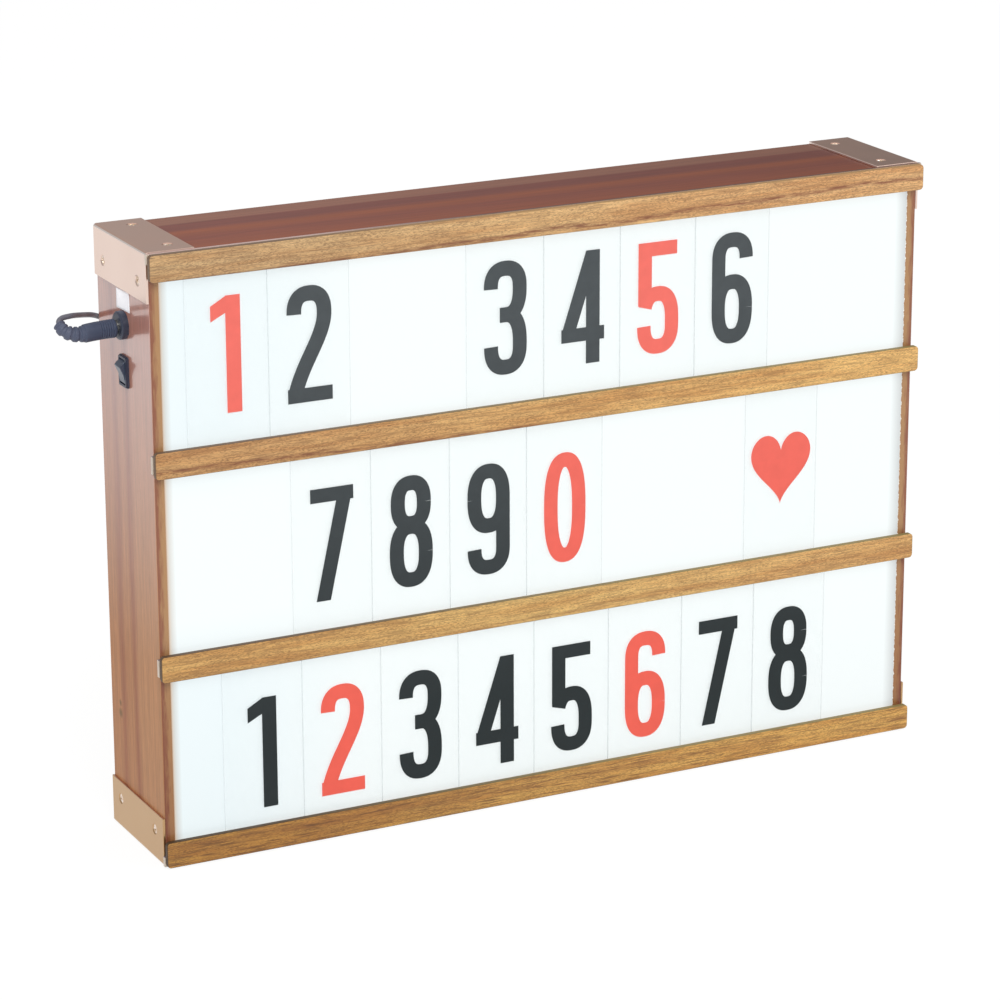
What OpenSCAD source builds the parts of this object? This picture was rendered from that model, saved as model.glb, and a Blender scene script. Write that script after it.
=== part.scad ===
// Cinema light box: a shallow wooden case with a lit front panel and three rows of letter tiles.
// X runs along the front, -Y is the front, +Y the back, +Z up. The feet stand on z = 0.

/* [Case] */
// Width over the side boards
case_w = 414; // [400:1:460]
// Height over the top and bottom boards
case_h = 300; // [285:1:320]
// Depth of the boards, front to back
case_d = 66; // [56:1:90]
// Thickness of the boards
board_t = 5; // [4:0.5:8]

/* [Corner brackets] */
// Thickness of the bracket sheet
bracket_t = 1.2; // [0.8:0.1:2]
// Length of each bracket leg, measured outside
bracket_leg = 24.4; // [20:0.2:36]
// Outer radius of the bracket's fold
bracket_fold_r = 1.6; // [0.8:0.1:3]
// Distance of the screws from the outer corner
bracket_screw_in = 15.5; // [12:0.5:17]
// Distance between the two screws on one leg
bracket_screw_pitch = 44; // [30:1:46]

/* [Screws] */
// Shank diameter of the wood screws
screw_d = 2.6; // [2:0.1:3.2]
// Head diameter of the wood screws
screw_head_d = 5.4; // [4.8:0.1:6]
// Depth of the countersunk head
screw_head_h = 1.1; // [0.8:0.1:1.2]
// How far the tip of a bracket screw stays inside the board
screw_tip_in = 0.6; // [0.3:0.1:1.5]
// How far the tip of a back panel screw stays inside its batten
panel_screw_tip_in = 2; // [0.5:0.5:4]

/* [Front rails] */
// Height of a rail
rail_h = 13; // [11:0.5:16]
// Thickness of a rail
rail_t = 3; // [2:0.5:5]
// Radius of the rail's corners
rail_r = 2; // [1:0.5:4]
// Thickness of the spacers behind the rails, which is the depth of the tile track
spacer_t = 2; // [1.6:0.1:4]
// Height of the top and bottom spacer
edge_spacer_h = 4.8; // [4:0.1:8]
// Height of the two middle spacers
mid_spacer_h = 8.5; // [7:0.1:10]
// How far the spacers reach past the rail ends
spacer_past = 0.3; // [0.2:0.1:1.4]
// How far the outer rails stop short of the brackets' outer faces
rail_margin = 0.5; // [0.2:0.1:1]

/* [Letter tiles] */
// Width of a tile
tile_w = 41.6; // [36:0.1:43]
// Thickness of a tile
tile_t = 0.8; // [0.5:0.1:1.2]
// Corner radius of a tile
tile_r = 1; // [0.5:0.1:3]
// Gap between neighbouring tiles
tile_gap = 0.2; // [0.1:0.05:0.5]
// Gap under a tile
tile_under = 0.1; // [0.05:0.05:0.3]
// Gap over a tile
tile_over = 0.5; // [0.3:0.1:1]
// Gap between a tile and the lit panel
tile_behind = 0.3; // [0.2:0.05:0.6]
// Blank width before the first tile of the top row, from the case's left end
top_row_in = 16.8; // [6:0.1:40]
// Blank width between the two words of the top row
top_row_blank = 61; // [20:1:62]
// Blank width before the first tile of the middle row
mid_row_in = 68.4; // [6:0.1:80]
// Blank width between the word and the symbol of the middle row
mid_row_blank = 81; // [20:1:90]
// Blank width before the first tile of the bottom row
low_row_in = 30.6; // [6:0.1:34]

/* [Lit panel and inner battens] */
// Thickness of the opal panel
panel_t = 3; // [2:0.5:4]
// Gap between a panel and the boards
panel_play = 0.2; // [0.1:0.05:0.4]
// Width and depth of the ledges behind the opal panel
ledge = 6; // [4:0.5:8]
// Width and depth of the battens in front of the back panel
batten = 8; // [7:0.5:10]
// Thickness of the back panel
back_t = 3; // [2.5:0.5:5]
// How far the back panel lies inside the case
back_recess = 1; // [0.5:0.1:3]
// Distance between the two wall keyholes
keyhole_pitch = 300; // [200:10:320]
// Radius of the keyhole's round entry
keyhole_r = 4.5; // [4:0.25:6]
// Width of the keyhole's slot
keyhole_slot_w = 4.5; // [4:0.1:5]
// Length of the keyhole's slot above the entry's centre
keyhole_slot_up = 9; // [8:0.5:12]
// Gap between the keyhole's slot and the top batten
keyhole_under = 3.75; // [2:0.25:10]

/* [Light strips] */
// Gap between the end of a light strip and the batten beside it
strip_end = 4; // [2:0.5:30]
// Width of a light strip
strip_w = 10; // [8:1:12]
// Thickness of a light strip
strip_t = 1; // [0.6:0.1:1.5]
// Side of a light source
chip_w = 5; // [3:0.5:6]
// Thickness of a light source
chip_t = 1.4; // [1:0.1:2]
// Number of light sources on a strip
chip_count = 19; // [8:1:24]

/* [Power socket] */
// Distance of the socket's centre under the bracket
jack_under = 17.4; // [9:0.1:30]
// Diameter of the socket's flange
jack_flange_d = 13.6; // [12.6:0.2:16]
// How far the flange stands out of the board
jack_flange_t = 3.5; // [1.5:0.1:4]
// Diameter of the socket's threaded body
jack_body_d = 11; // [9:0.1:11.4]
// Length of the body behind the board's outer face
jack_body_l = 14; // [13:0.5:18]
// Depth of the socket's bore
jack_bore_l = 11.5; // [11:0.5:12]
// Width over the nut's flats
jack_nut_flats = 14; // [13:0.5:16]
// Thickness of the nut
jack_nut_t = 2.5; // [2:0.1:4]

/* [Rocker switch] */
// Distance of the switch's centre under the socket's centre
switch_under = 22.4; // [20:0.1:60]
// How far the switch's frame reaches past its body on each side
frame_lip = 0.7; // [0.5:0.1:1.5]
// How far the frame stands out of the board
frame_t = 1.6; // [1.2:0.1:2.4]
// Wall between the rocker's well and the side of the switch
switch_wall = 0.7; // [0.6:0.05:0.9]
// Depth of the switch's body behind the board's outer face
switch_body_l = 11; // [9:0.5:14]
// Radius of the rocker's ends about its pivot
rocker_r = 6; // [5.5:0.1:6.1]
// Width of the rocker
rocker_w = 6.9; // [5:0.1:7]
// Depth of the pivot behind the board's outer face
pivot_in = 1; // [0.6:0.1:2]
// Diameter of the pivot pin
pivot_d = 2; // [1.6:0.1:2.4]
// Angle of the rocker's raised end above the board
rocker_up_a = 60; // [46:1:62]
// Angle of the rocker's pressed end above the board
rocker_down_a = 24; // [20:1:26]
// Depth of the dish between the rocker's ends
rocker_dish = 0.5; // [0.2:0.1:1]

/* [Plug] */
// Diameter of the plug's metal sleeve
barrel_d = 5.5; // [5:0.1:5.6]
// Bore of the plug's metal sleeve
barrel_bore_d = 2.3; // [2.2:0.1:2.6]
// How far the sleeve reaches into the socket's bore
barrel_in = 9.5; // [8:0.5:10]
// Gap between the plug's grip and the socket's flange
plug_gap = 1; // [0.5:0.1:3]
// Diameter of the plug's grip
grip_d = 9; // [8:0.1:10]
// Length of the plug's grip
grip_l = 16; // [12:0.5:24]
// Length of the strain relief's straight part, before its bend
boot_straight_l = 3.5; // [2:0.5:8]
// Diameter of the strain relief where it leaves the grip
boot_d = 7.6; // [6.5:0.1:8.4]
// Diameter of the strain relief at its tip
boot_tip_d = 5.8; // [4:0.1:6]
// Number of ribs on the strain relief
boot_ribs = 4; // [2:1:5]

/* [Lead] */
// Diameter of the lead
cord_d = 2.6; // [2:0.1:2.8]
// Length of the connector's grip at the far end
usb_grip_l = 27; // [22:1:32]
// Width of the connector's grip
usb_grip_w = 15.5; // [14:0.5:16]
// Thickness of the connector's grip
usb_grip_t = 8; // [7:0.5:9]
// Length of the connector's metal shell
usb_shell_l = 18.75; // [12:0.25:19]
// Width of the connector's metal shell
usb_shell_w = 12; // [10:0.1:14]
// Height of the connector's metal shell
usb_shell_t = 4.5; // [3.5:0.1:6]

/* [Hidden] */
$fn = 48;
eps = 0.01;

// Fits
screw_play = 0.05;
jack_play = 0.1;
nut_play = 0.05;
switch_play = 0.1;
rocker_side_play = 0.15;
rocker_end_play = 0.15;
pivot_play = 0.05;
barrel_play = 0.05;
pin_play = 0.15;

// The case. Its front and back are set so that y = 0 is the middle of the whole depth.
rail_proud = rail_t + spacer_t;
front_y = -(case_d - rail_proud) / 2;
back_y = front_y + case_d;
mid_y = front_y + case_d / 2;
wood_z = bracket_t;
top_z = wood_z + case_h;
total_h = case_h + 2 * bracket_t;
outer_w = case_w + 2 * bracket_t;
inner_w = case_w - 2 * board_t;
inner_h = case_h - 2 * board_t;
inner_z = wood_z + board_t;
left_x = -case_w / 2;
screw_len = bracket_t + board_t - screw_tip_in;
panel_screw_len = back_t + batten - panel_screw_tip_in;

// Rows of the tile track, counted from the bottom
rail_w = outer_w;
spacer_w = rail_w + 2 * spacer_past;
row_count = 3;
row_h = (total_h - 2 * rail_margin - 2 * edge_spacer_h - (row_count - 1) * mid_spacer_h) / row_count;
row_step = row_h + mid_spacer_h;
function row_floor(row) = rail_margin + edge_spacer_h + row * row_step;
function row_middle(row) = row_floor(row) + row_h / 2;
rail_y = front_y - rail_proud;
spacer_y = front_y - spacer_t;

// Tiles
tile_h = row_h - tile_under - tile_over;
tile_step = tile_w + tile_gap;
tile_y = front_y - tile_behind - tile_t;
top_word_1 = 2;
top_word_2 = 4;
mid_word = 4;
low_word = 8;
top_row_x = left_x + top_row_in;
mid_row_x = left_x + mid_row_in;
low_row_x = left_x + low_row_in;
top_word_2_x = top_row_x + top_word_1 * tile_step + top_row_blank;
symbol_x = mid_row_x + mid_word * tile_step + mid_row_blank;
top_tiles = [
    for (i = [0 : top_word_1 - 1]) top_row_x + i * tile_step,
    for (i = [0 : top_word_2 - 1]) top_word_2_x + i * tile_step
];
mid_tiles = [for (i = [0 : mid_word - 1]) mid_row_x + i * tile_step, symbol_x];
low_tiles = [for (i = [0 : low_word - 1]) low_row_x + i * tile_step];

// Inside the case
ledge_y = front_y + panel_t;
back_panel_y = back_y - back_recess - back_t;
batten_y = back_panel_y - batten;
strip_y = back_panel_y - strip_t;
chip_y = strip_y - chip_t;
strip_l = inner_w - 2 * batten - 2 * strip_end;
chip_step = strip_l / chip_count;
keyhole_z = top_z - board_t - batten - keyhole_under - keyhole_slot_w / 2 - keyhole_slot_up;
panel_screw_x = inner_w / 2 - batten / 2;
panel_screw_zs = [inner_z + batten / 2, (inner_z + top_z - board_t) / 2, top_z - board_t - batten / 2];

// Bracket corners: side (-1 left, 1 right) and level (-1 bottom, 1 top)
corners = [[-1, 1], [1, 1], [-1, -1], [1, -1]];
screw_ys = [mid_y - bracket_screw_pitch / 2, mid_y + bracket_screw_pitch / 2];
screw_x = outer_w / 2 - bracket_screw_in;
function screw_z(level) = level > 0 ? total_h - bracket_screw_in : bracket_screw_in;

// Socket and plug, measured out of the left board's face
jack_z = total_h - bracket_leg - jack_under;
jack_pin_d = barrel_bore_d - 2 * pin_play;
jack_nut_d = jack_nut_flats / cos(30);
jack_bore_d = barrel_d + 2 * barrel_play;
grip_start = jack_flange_t + plug_gap;
barrel_start = jack_flange_t - barrel_in;
boot_in_grip = 0.5;
boot_groove = 0.6;
boot_sides = 20;
plug_end = grip_start + grip_l + boot_straight_l;
tag_l = 5;
tag_w = 2.4;
tag_t = 0.5;
tag_offset = 3;

// Switch, measured out of the left board's face
switch_z = jack_z - switch_under;
well_w = rocker_w + 2 * rocker_side_play;
well_h = 2 * (rocker_r + rocker_end_play);
switch_body_w = well_w + 2 * switch_wall;
switch_body_h = well_h + 2 * switch_wall;
frame_w = switch_body_w + 2 * frame_lip;
frame_h = switch_body_h + 2 * frame_lip;
frame_r = 1;
frame_step = 0.3;
frame_top_t = 0.6;
rocker_skirt = 2;
well_l = rocker_r + 0.2;
blade_w = 4.8;
blade_t = 0.8;
blade_l = 7;
blade_offset = 3.5;

// Wires inside the case
wire_d = 1.4;
wire_sides = 8;
wire_bow = 8;
wire_lead = 4;

// Lead: its route, chosen by hand in five stretches, each measured from what it goes by
cord_sides = 8;
in_boot = [[0, 0, 0], [-2.9, 0.4, 0.2], [-5.2, 2, 1], [-6.1, 4.7, 2.3]];
out_of_boot = [
    [-6.1, 4.7, 2.3], [-5.2, 7.4, 3.6], [-2.9, 9, 4.4], [0.5, 10.1, 4.5], [3.6, 12.7, 3.9]
];
round_corner = [
    [-15.5, -14.5, 2.2], [-9.5, -6.7, -0.2], [-3, -0.1, -2.6], [3.5, 5.5, -6],
    [10.5, 9.7, -11.6], [17, 12.1, -20.6], [22, 13.1, -33.6]
];
down_back = [
    [25.5, 13.1, 208], [28, 12.9, 184], [29.5, 12.7, 156], [30.5, 12.6, 126], [31, 12.6, 96],
    [31.4, 12.6, 66], [32, 12.6, 42], [33.4, 12.6, 26], [36.4, 12.6, 15], [41.6, 12.6, 7],
    [49, 12.6, 2.6], [58, 12.6, 1.5], [71, 12.6, 1.6], [87, 12.6, 2.2]
];
out_of_coil = [[87, 12.6, 4.9], [95, 12.6, 4.8], [104, 12.6, 4.3], [113, 12.6, 4]];
function moved(points, by) = [for (p = points) p + by];
cord_points = concat(
    moved(out_of_boot, [left_x - plug_end, mid_y, jack_z]),
    moved(round_corner, [left_x, back_y, jack_z]),
    moved(down_back, [left_x, back_y, 0])
);
boot_points = concat(
    [[left_x - grip_start - grip_l + boot_in_grip, mid_y, jack_z]],
    moved(in_boot, [left_x - plug_end, mid_y, jack_z])
);
tail_points = moved(out_of_coil, [left_x, back_y, 0]);
coil_x = cord_points[len(cord_points) - 1][0];
coil_y = back_y + 30.5;
coil_lift = 0.9;
coil_mid_r = 15.2;
coil_across = 8.2;
coil_h = 5.3;
tie_w = 4;
tie_t = 0.6;
tie_play = 0.3;
usb_x = tail_points[len(tail_points) - 1][0];
usb_y = tail_points[len(tail_points) - 1][1];
usb_z = tail_points[len(tail_points) - 1][2];
usb_wall = 0.4;
usb_r = 2;

// A rectangle with round corners, centred on x and standing on y = 0
module rounded_rect(w, h, r) {
    translate([-w / 2 + r, 0])
        square([w - 2 * r, h]);
    translate([-w / 2, r])
        square([w, h - 2 * r]);
    for (x = [-w / 2 + r, w / 2 - r], y = [r, h - r])
        translate([x, y])
            circle(r);
}

// A plate that faces the front: w wide, h high, t thick, from y and z upwards
module front_plate(w, h, t, r, y, z) {
    translate([0, y + t, z])
        rotate([90, 0, 0])
            linear_extrude(t)
                rounded_rect(w, h, r);
}

// A block centred on x
module block(w, d, h, y, z) {
    translate([-w / 2, y, z])
        cube([w, d, h]);
}

// Puts a shape's z axis on the line that leaves the left board at height z
module out_of_left(z) {
    translate([left_x, mid_y, z])
        rotate([0, -90, 0])
            children();
}

// A countersunk wood screw with a cross recess, its head's face on z = 0
module screw(length) {
    recess_w = screw_d * 0.28;
    recess_l = screw_head_d * 0.62;
    difference() {
        union() {
            translate([0, 0, -screw_head_h])
                cylinder(d1 = screw_d, d2 = screw_head_d, h = screw_head_h);
            translate([0, 0, -length])
                cylinder(d = screw_d, h = length - screw_head_h);
        }
        for (a = [0, 90])
            rotate(a)
                translate([-recess_l / 2, -recess_w / 2, -screw_head_h * 0.7])
                    cube([recess_l, recess_w, screw_head_h]);
    }
}

// The hole for such a screw, with the same face
module screw_hole(length) {
    d = screw_d + 2 * screw_play;
    head_d = screw_head_d + 2 * screw_play;
    translate([0, 0, -screw_head_h])
        cylinder(d1 = d, d2 = head_d, h = screw_head_h);
    translate([0, 0, -length - screw_play])
        cylinder(d = d, h = length - screw_head_h + 2 * screw_play);
    translate([0, 0, -eps])
        cylinder(d = head_d, h = 2 * eps);
}

// Places its children at both screws of a corner's upright leg, facing outwards
module at_side_screws(side, level) {
    for (y = screw_ys)
        translate([side * outer_w / 2, y, screw_z(level)])
            rotate([0, side * 90, 0])
                children();
}

// Places its children at both screws of a corner's level leg, facing outwards
module at_level_screws(side, level) {
    for (y = screw_ys)
        translate([side * screw_x, y, level > 0 ? total_h : 0])
            rotate([level > 0 ? 0 : 180, 0, 0])
                children();
}

// Top or bottom board, with the holes of its two brackets
module level_board(level) {
    difference() {
        block(case_w, case_d, board_t, front_y, level > 0 ? top_z - board_t : wood_z);
        for (side = [-1, 1])
            at_level_screws(side, level)
                screw_hole(screw_len);
    }
}

// Left or right board between the level boards, with the holes of its two brackets
module upright_board(side) {
    difference() {
        translate([side > 0 ? case_w / 2 - board_t : left_x, front_y, inner_z])
            cube([board_t, case_d, inner_h]);
        for (level = [-1, 1])
            at_side_screws(side, level)
                screw_hole(screw_len);
    }
}

module top_board() {
    color("#8A4A35")
        level_board(1);
}

module bottom_board() {
    color("#8A4A35")
        level_board(-1);
}

module left_side_board() {
    color("#B98877")
        difference() {
            upright_board(-1);
            out_of_left(jack_z)
                translate([0, 0, -board_t - 1])
                    cylinder(d = jack_body_d + 2 * jack_play, h = board_t + 2);
            out_of_left(switch_z)
                translate([-switch_body_h / 2 - switch_play, -switch_body_w / 2 - switch_play, -board_t - 1])
                    cube([switch_body_h + 2 * switch_play, switch_body_w + 2 * switch_play, board_t + 2]);
        }
}

module right_side_board() {
    color("#B98877")
        upright_board(1);
}

// Places its children at the back panel's six screws, facing backwards
module at_panel_screws() {
    for (x = [-panel_screw_x, panel_screw_x], z = panel_screw_zs)
        translate([x, back_panel_y + back_t, z])
            rotate([-90, 0, 0])
                children();
}

// A round entry with a narrower slot above it, for a screw in the wall
module keyhole() {
    rotate([-90, 0, 0]) {
        translate([0, 0, -1])
            cylinder(r = keyhole_r, h = back_t + 2);
        translate([0, -keyhole_slot_up, -1])
            cylinder(d = keyhole_slot_w, h = back_t + 2);
        translate([-keyhole_slot_w / 2, -keyhole_slot_up, -1])
            cube([keyhole_slot_w, keyhole_slot_up, back_t + 2]);
    }
}

module back_panel() {
    color("#C9A77C")
        difference() {
            block(inner_w - 2 * panel_play, back_t, inner_h - 2 * panel_play,
                  back_panel_y, inner_z + panel_play);
            at_panel_screws()
                screw_hole(panel_screw_len);
            for (x = [-keyhole_pitch / 2, keyhole_pitch / 2])
                translate([x, back_panel_y, keyhole_z])
                    keyhole();
        }
}

module back_panel_screws() {
    color("#B8B8B4")
        at_panel_screws()
            screw(panel_screw_len);
}

module diffuser_panel() {
    color("#F4FDFD")
        block(inner_w - 2 * panel_play, panel_t, inner_h - 2 * panel_play, front_y, inner_z + panel_play);
}

// Two upright strips against the side boards, s wide and deep, from y backwards
module upright_strips(s, y) {
    for (x = [-inner_w / 2, inner_w / 2 - s])
        translate([x, y, inner_z])
            cube([s, s, inner_h]);
}

// Two level strips between the upright ones
module level_strips(s, y) {
    for (z = [inner_z, inner_z + inner_h - s])
        block(inner_w - 2 * s, s, s, y, z);
}

module side_ledges() {
    color("#D9BE92")
        upright_strips(ledge, ledge_y);
}

module cross_ledges() {
    color("#D9BE92")
        level_strips(ledge, ledge_y);
}

module side_battens() {
    color("#D9BE92")
        difference() {
            upright_strips(batten, batten_y);
            at_panel_screws()
                screw_hole(panel_screw_len);
        }
}

module cross_battens() {
    color("#D9BE92")
        level_strips(batten, batten_y);
}

module rail(z) {
    color("#B98452")
        front_plate(rail_w, rail_h, rail_t, rail_r, rail_y, z);
}

module spacer(h, z) {
    color("#E9ECEA")
        block(spacer_w, spacer_t, h, spacer_y, z);
}

module bottom_rail() {
    rail(rail_margin);
}

module lower_rail() {
    rail(row_floor(1) - mid_spacer_h / 2 - rail_h / 2);
}

module upper_rail() {
    rail(row_floor(2) - mid_spacer_h / 2 - rail_h / 2);
}

module top_rail() {
    rail(total_h - rail_margin - rail_h);
}

module bottom_spacer() {
    spacer(edge_spacer_h, rail_margin);
}

module lower_spacer() {
    spacer(mid_spacer_h, row_floor(1) - mid_spacer_h);
}

module upper_spacer() {
    spacer(mid_spacer_h, row_floor(2) - mid_spacer_h);
}

module top_spacer() {
    spacer(edge_spacer_h, total_h - rail_margin - edge_spacer_h);
}

// Section of a bracket in x and z: the top right corner, folded over the boards' edge
module bracket_section() {
    difference() {
        union() {
            translate([-bracket_leg, -bracket_leg])
                square([bracket_leg, bracket_leg - bracket_fold_r]);
            translate([-bracket_leg, -bracket_leg])
                square([bracket_leg - bracket_fold_r, bracket_leg]);
            translate([-bracket_fold_r, -bracket_fold_r])
                circle(bracket_fold_r);
        }
        translate([-bracket_leg - 1, -bracket_leg - 1])
            square([bracket_leg + 1 - bracket_t, bracket_leg + 1 - bracket_t]);
    }
}

module corner_bracket(side, level) {
    color("#C98F78")
        difference() {
            translate([side * outer_w / 2, back_y, level > 0 ? total_h : 0])
                mirror([side > 0 ? 0 : 1, 0, 0])
                    mirror([0, 0, level > 0 ? 0 : 1])
                        rotate([90, 0, 0])
                            linear_extrude(case_d)
                                bracket_section();
            at_side_screws(side, level)
                screw_hole(screw_len);
            at_level_screws(side, level)
                screw_hole(screw_len);
        }
}

module bracket_screws() {
    color("#D8B49C")
        for (c = corners) {
            at_side_screws(c[0], c[1])
                screw(screw_len);
            at_level_screws(c[0], c[1])
                screw(screw_len);
        }
}

module led_strips() {
    color("#F2F2EE")
        for (row = [0 : row_count - 1])
            block(strip_l, strip_t, strip_w, strip_y, row_middle(row) - strip_w / 2);
}

module led_chips() {
    color("#FFF6C8")
        for (row = [0 : row_count - 1], i = [0 : chip_count - 1])
            translate([(i + 0.5) * chip_step - strip_l / 2, 0, 0])
                block(chip_w, chip_t, chip_w, chip_y, row_middle(row) - chip_w / 2);
}

module dc_socket() {
    chamfer = 0.7;
    color("#3A414C")
        out_of_left(jack_z) {
            difference() {
                union() {
                    cylinder(d = jack_flange_d, h = jack_flange_t - chamfer);
                    translate([0, 0, jack_flange_t - chamfer])
                        cylinder(d1 = jack_flange_d, d2 = jack_flange_d - 2 * chamfer, h = chamfer);
                    translate([0, 0, -jack_body_l])
                        cylinder(d = jack_body_d, h = jack_body_l);
                }
                translate([0, 0, jack_flange_t - jack_bore_l])
                    cylinder(d = jack_bore_d, h = jack_bore_l + 1);
            }
            translate([0, 0, jack_flange_t - jack_bore_l - eps])
                cylinder(d = jack_pin_d, h = jack_bore_l - 2);
        }
}

module dc_socket_nut() {
    color("#C4C7CA")
        out_of_left(jack_z)
            translate([0, 0, -board_t - jack_nut_t])
                difference() {
                    cylinder(d = jack_nut_d, h = jack_nut_t, $fn = 6);
                    translate([0, 0, -1])
                        cylinder(d = jack_body_d + 2 * nut_play, h = jack_nut_t + 2);
                }
}

// Two solder tags of the socket and two blades of the switch
module solder_tags() {
    color("#D8C48A") {
        out_of_left(jack_z)
            for (x = [-tag_offset, tag_offset])
                translate([x - tag_t / 2, -tag_w / 2, -jack_body_l - tag_l])
                    cube([tag_t, tag_w, tag_l]);
        out_of_left(switch_z)
            for (x = [-blade_offset, blade_offset])
                translate([x - blade_t / 2, -blade_w / 2, -switch_body_l - blade_l])
                    cube([blade_t, blade_w, blade_l]);
    }
}

// A plate with round corners, centred on x and y, standing on z = 0
module pad(h, w, t, r) {
    translate([0, -w / 2, 0])
        linear_extrude(t)
            rounded_rect(h, w, r);
}

module switch_body() {
    color("#39424E")
        out_of_left(switch_z)
            difference() {
                union() {
                    pad(frame_h, frame_w, frame_t - frame_top_t, frame_r);
                    translate([0, 0, frame_t - frame_top_t])
                        pad(frame_h - 2 * frame_step, frame_w - 2 * frame_step, frame_top_t, frame_r);
                    translate([-switch_body_h / 2, -switch_body_w / 2, -switch_body_l])
                        cube([switch_body_h, switch_body_w, switch_body_l]);
                }
                translate([-well_h / 2, -well_w / 2, -pivot_in - well_l])
                    cube([well_h, well_w, pivot_in + well_l + frame_t + 1]);
                translate([0, 0, -pivot_in])
                    rotate([90, 0, 0])
                        cylinder(d = pivot_d + 2 * pivot_play, h = switch_body_w + 1, center = true);
            }
}

// The rocker's side outline about its pivot: x up the board, y out of it
module rocker_section() {
    up = rocker_r * [cos(rocker_up_a), sin(rocker_up_a)];
    down = rocker_r * [-cos(rocker_down_a), sin(rocker_down_a)];
    across = (up - down) / norm(up - down);
    dish = (up + down) / 2 + rocker_dish * [across[1], -across[0]];
    past_up = dish + 1.5 * (up - dish);
    past_down = dish + 1.5 * (down - dish);
    edge = 1.5 * rocker_r;
    intersection() {
        circle(rocker_r);
        polygon([
            [-edge, -rocker_skirt], [edge, -rocker_skirt], [edge, past_up[1]], past_up, dish,
            past_down, [-edge, past_down[1]]
        ]);
    }
}

module switch_rocker() {
    color("#4A5563")
        out_of_left(switch_z)
            translate([0, 0, -pivot_in])
                rotate([90, 0, 0]) {
                    linear_extrude(rocker_w, center = true)
                        rocker_section();
                    cylinder(d = pivot_d, h = switch_body_w, center = true);
                }
}

// A tube through the points, of diameter d or of one diameter for each point, as one closed surface of rings
module swept_tube(points, d, sides) {
    last = len(points) - 1;
    function along(i) = let(v = points[min(i + 1, last)] - points[max(i - 1, 0)]) v / norm(v);
    function unit(v) = v / norm(v);
    // Each ring's first spoke is the one before it, made square to the new direction
    function spoke(i) =
        i == 0
        ? unit(cross(along(0), abs(along(0)[2]) < 0.9 ? [0, 0, 1] : [0, 1, 0]))
        : let(s = spoke(i - 1), t = along(i)) unit(s - (s * t) * t);
    rings = [
        for (i = [0 : last])
            let(s = spoke(i), q = cross(along(i), s))
                for (k = [0 : sides - 1])
                    let(a = 360 * k / sides, r = (is_list(d) ? d[i] : d) / 2)
                        points[i] + r * (cos(a) * s + sin(a) * q)
    ];
    walls = [
        for (i = [0 : last - 1], k = [0 : sides - 1])
            let(n = (k + 1) % sides)
                [i * sides + k, (i + 1) * sides + k, (i + 1) * sides + n, i * sides + n]
    ];
    start_cap = [for (k = [0 : sides - 1]) k];
    end_cap = [for (k = [sides - 1 : -1 : 0]) last * sides + k];
    polyhedron(rings, concat(walls, [start_cap, end_cap]), convexity = 8);
}

// Points on a smooth curve through the given ones (Catmull-Rom), n to a stretch
function curve_point(p, i, u) =
    let(last = len(p) - 1, a = p[max(i - 1, 0)], b = p[i], c = p[min(i + 1, last)], d = p[min(i + 2, last)])
        0.5 * (2 * b + (c - a) * u + (2 * a - 5 * b + 4 * c - d) * u * u
               + (3 * b - a - 3 * c + d) * u * u * u);
function smooth(p, n) = concat(
    [for (i = [0 : len(p) - 2], j = [0 : n - 1]) curve_point(p, i, j / n)],
    [p[len(p) - 1]]
);

// Wires from the socket and the switch to the light strips, along the left side of the case
module wiring() {
    tag_x = left_x + jack_body_l + tag_l + wire_d / 2;
    blade_x = left_x + switch_body_l + blade_l + wire_d / 2;
    strip_x = left_x + board_t + batten + strip_end - wire_d / 2;
    wire_y = back_panel_y - 2 * wire_d;
    halfway_y = (mid_y + wire_y) / 2;
    strip_z = row_middle(2);
    color("#8E2F2A")
        swept_tube(smooth([
            [tag_x, mid_y, jack_z + tag_offset],
            [tag_x + wire_lead, mid_y, jack_z + tag_offset],
            [tag_x + wire_bow, mid_y, (jack_z + switch_z) / 2],
            [blade_x + wire_lead, mid_y, switch_z + blade_offset],
            [blade_x, mid_y, switch_z + blade_offset]
        ], 3), wire_d, wire_sides);
    color("#2B2F36")
        swept_tube(smooth([
            [tag_x, mid_y, jack_z - tag_offset],
            [tag_x + wire_lead, mid_y + wire_lead, jack_z - tag_offset],
            [strip_x, halfway_y, strip_z + wire_bow],
            [strip_x, wire_y, strip_z + wire_lead],
            [strip_x, wire_y, row_middle(1)],
            [strip_x, wire_y, row_middle(0)]
        ], 3), wire_d, wire_sides);
}

// The outline of the plug's grip, along z
module grip_outline() {
    round_in = 0.8;
    polygon([
        [0, 0], [grip_d / 2 - round_in, 0], [grip_d / 2, round_in],
        [grip_d / 2, grip_l - round_in], [grip_d / 2 - round_in, grip_l], [0, grip_l]
    ]);
}

// The strain relief bends with the lead and tapers; every fourth ring is the groove between two ribs
module strain_relief() {
    path = smooth(boot_points, boot_ribs);
    last = len(path) - 1;
    swept_tube(path, [
        for (i = [0 : last])
            boot_d + (boot_tip_d - boot_d) * i / last - (i % 4 == 3 ? 2 * boot_groove : 0)
    ], boot_sides);
}

module plug_grip() {
    color("#3C434F") {
        out_of_left(jack_z)
            translate([0, 0, grip_start])
                rotate_extrude()
                    grip_outline();
        strain_relief();
    }
}

module plug_barrel() {
    color("#D9DBDD")
        out_of_left(jack_z)
            translate([0, 0, barrel_start])
                difference() {
                    cylinder(d = barrel_d, h = barrel_in + plug_gap);
                    translate([0, 0, -1])
                        cylinder(d = barrel_bore_d, h = barrel_in + 1);
                }
}

module lead_cord() {
    color("#5A5F68")
        swept_tube(smooth(cord_points, 2), cord_d, cord_sides);
}

module lead_tail() {
    color("#5A5F68")
        swept_tube(smooth(tail_points, 2), cord_d, cord_sides);
}

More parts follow.
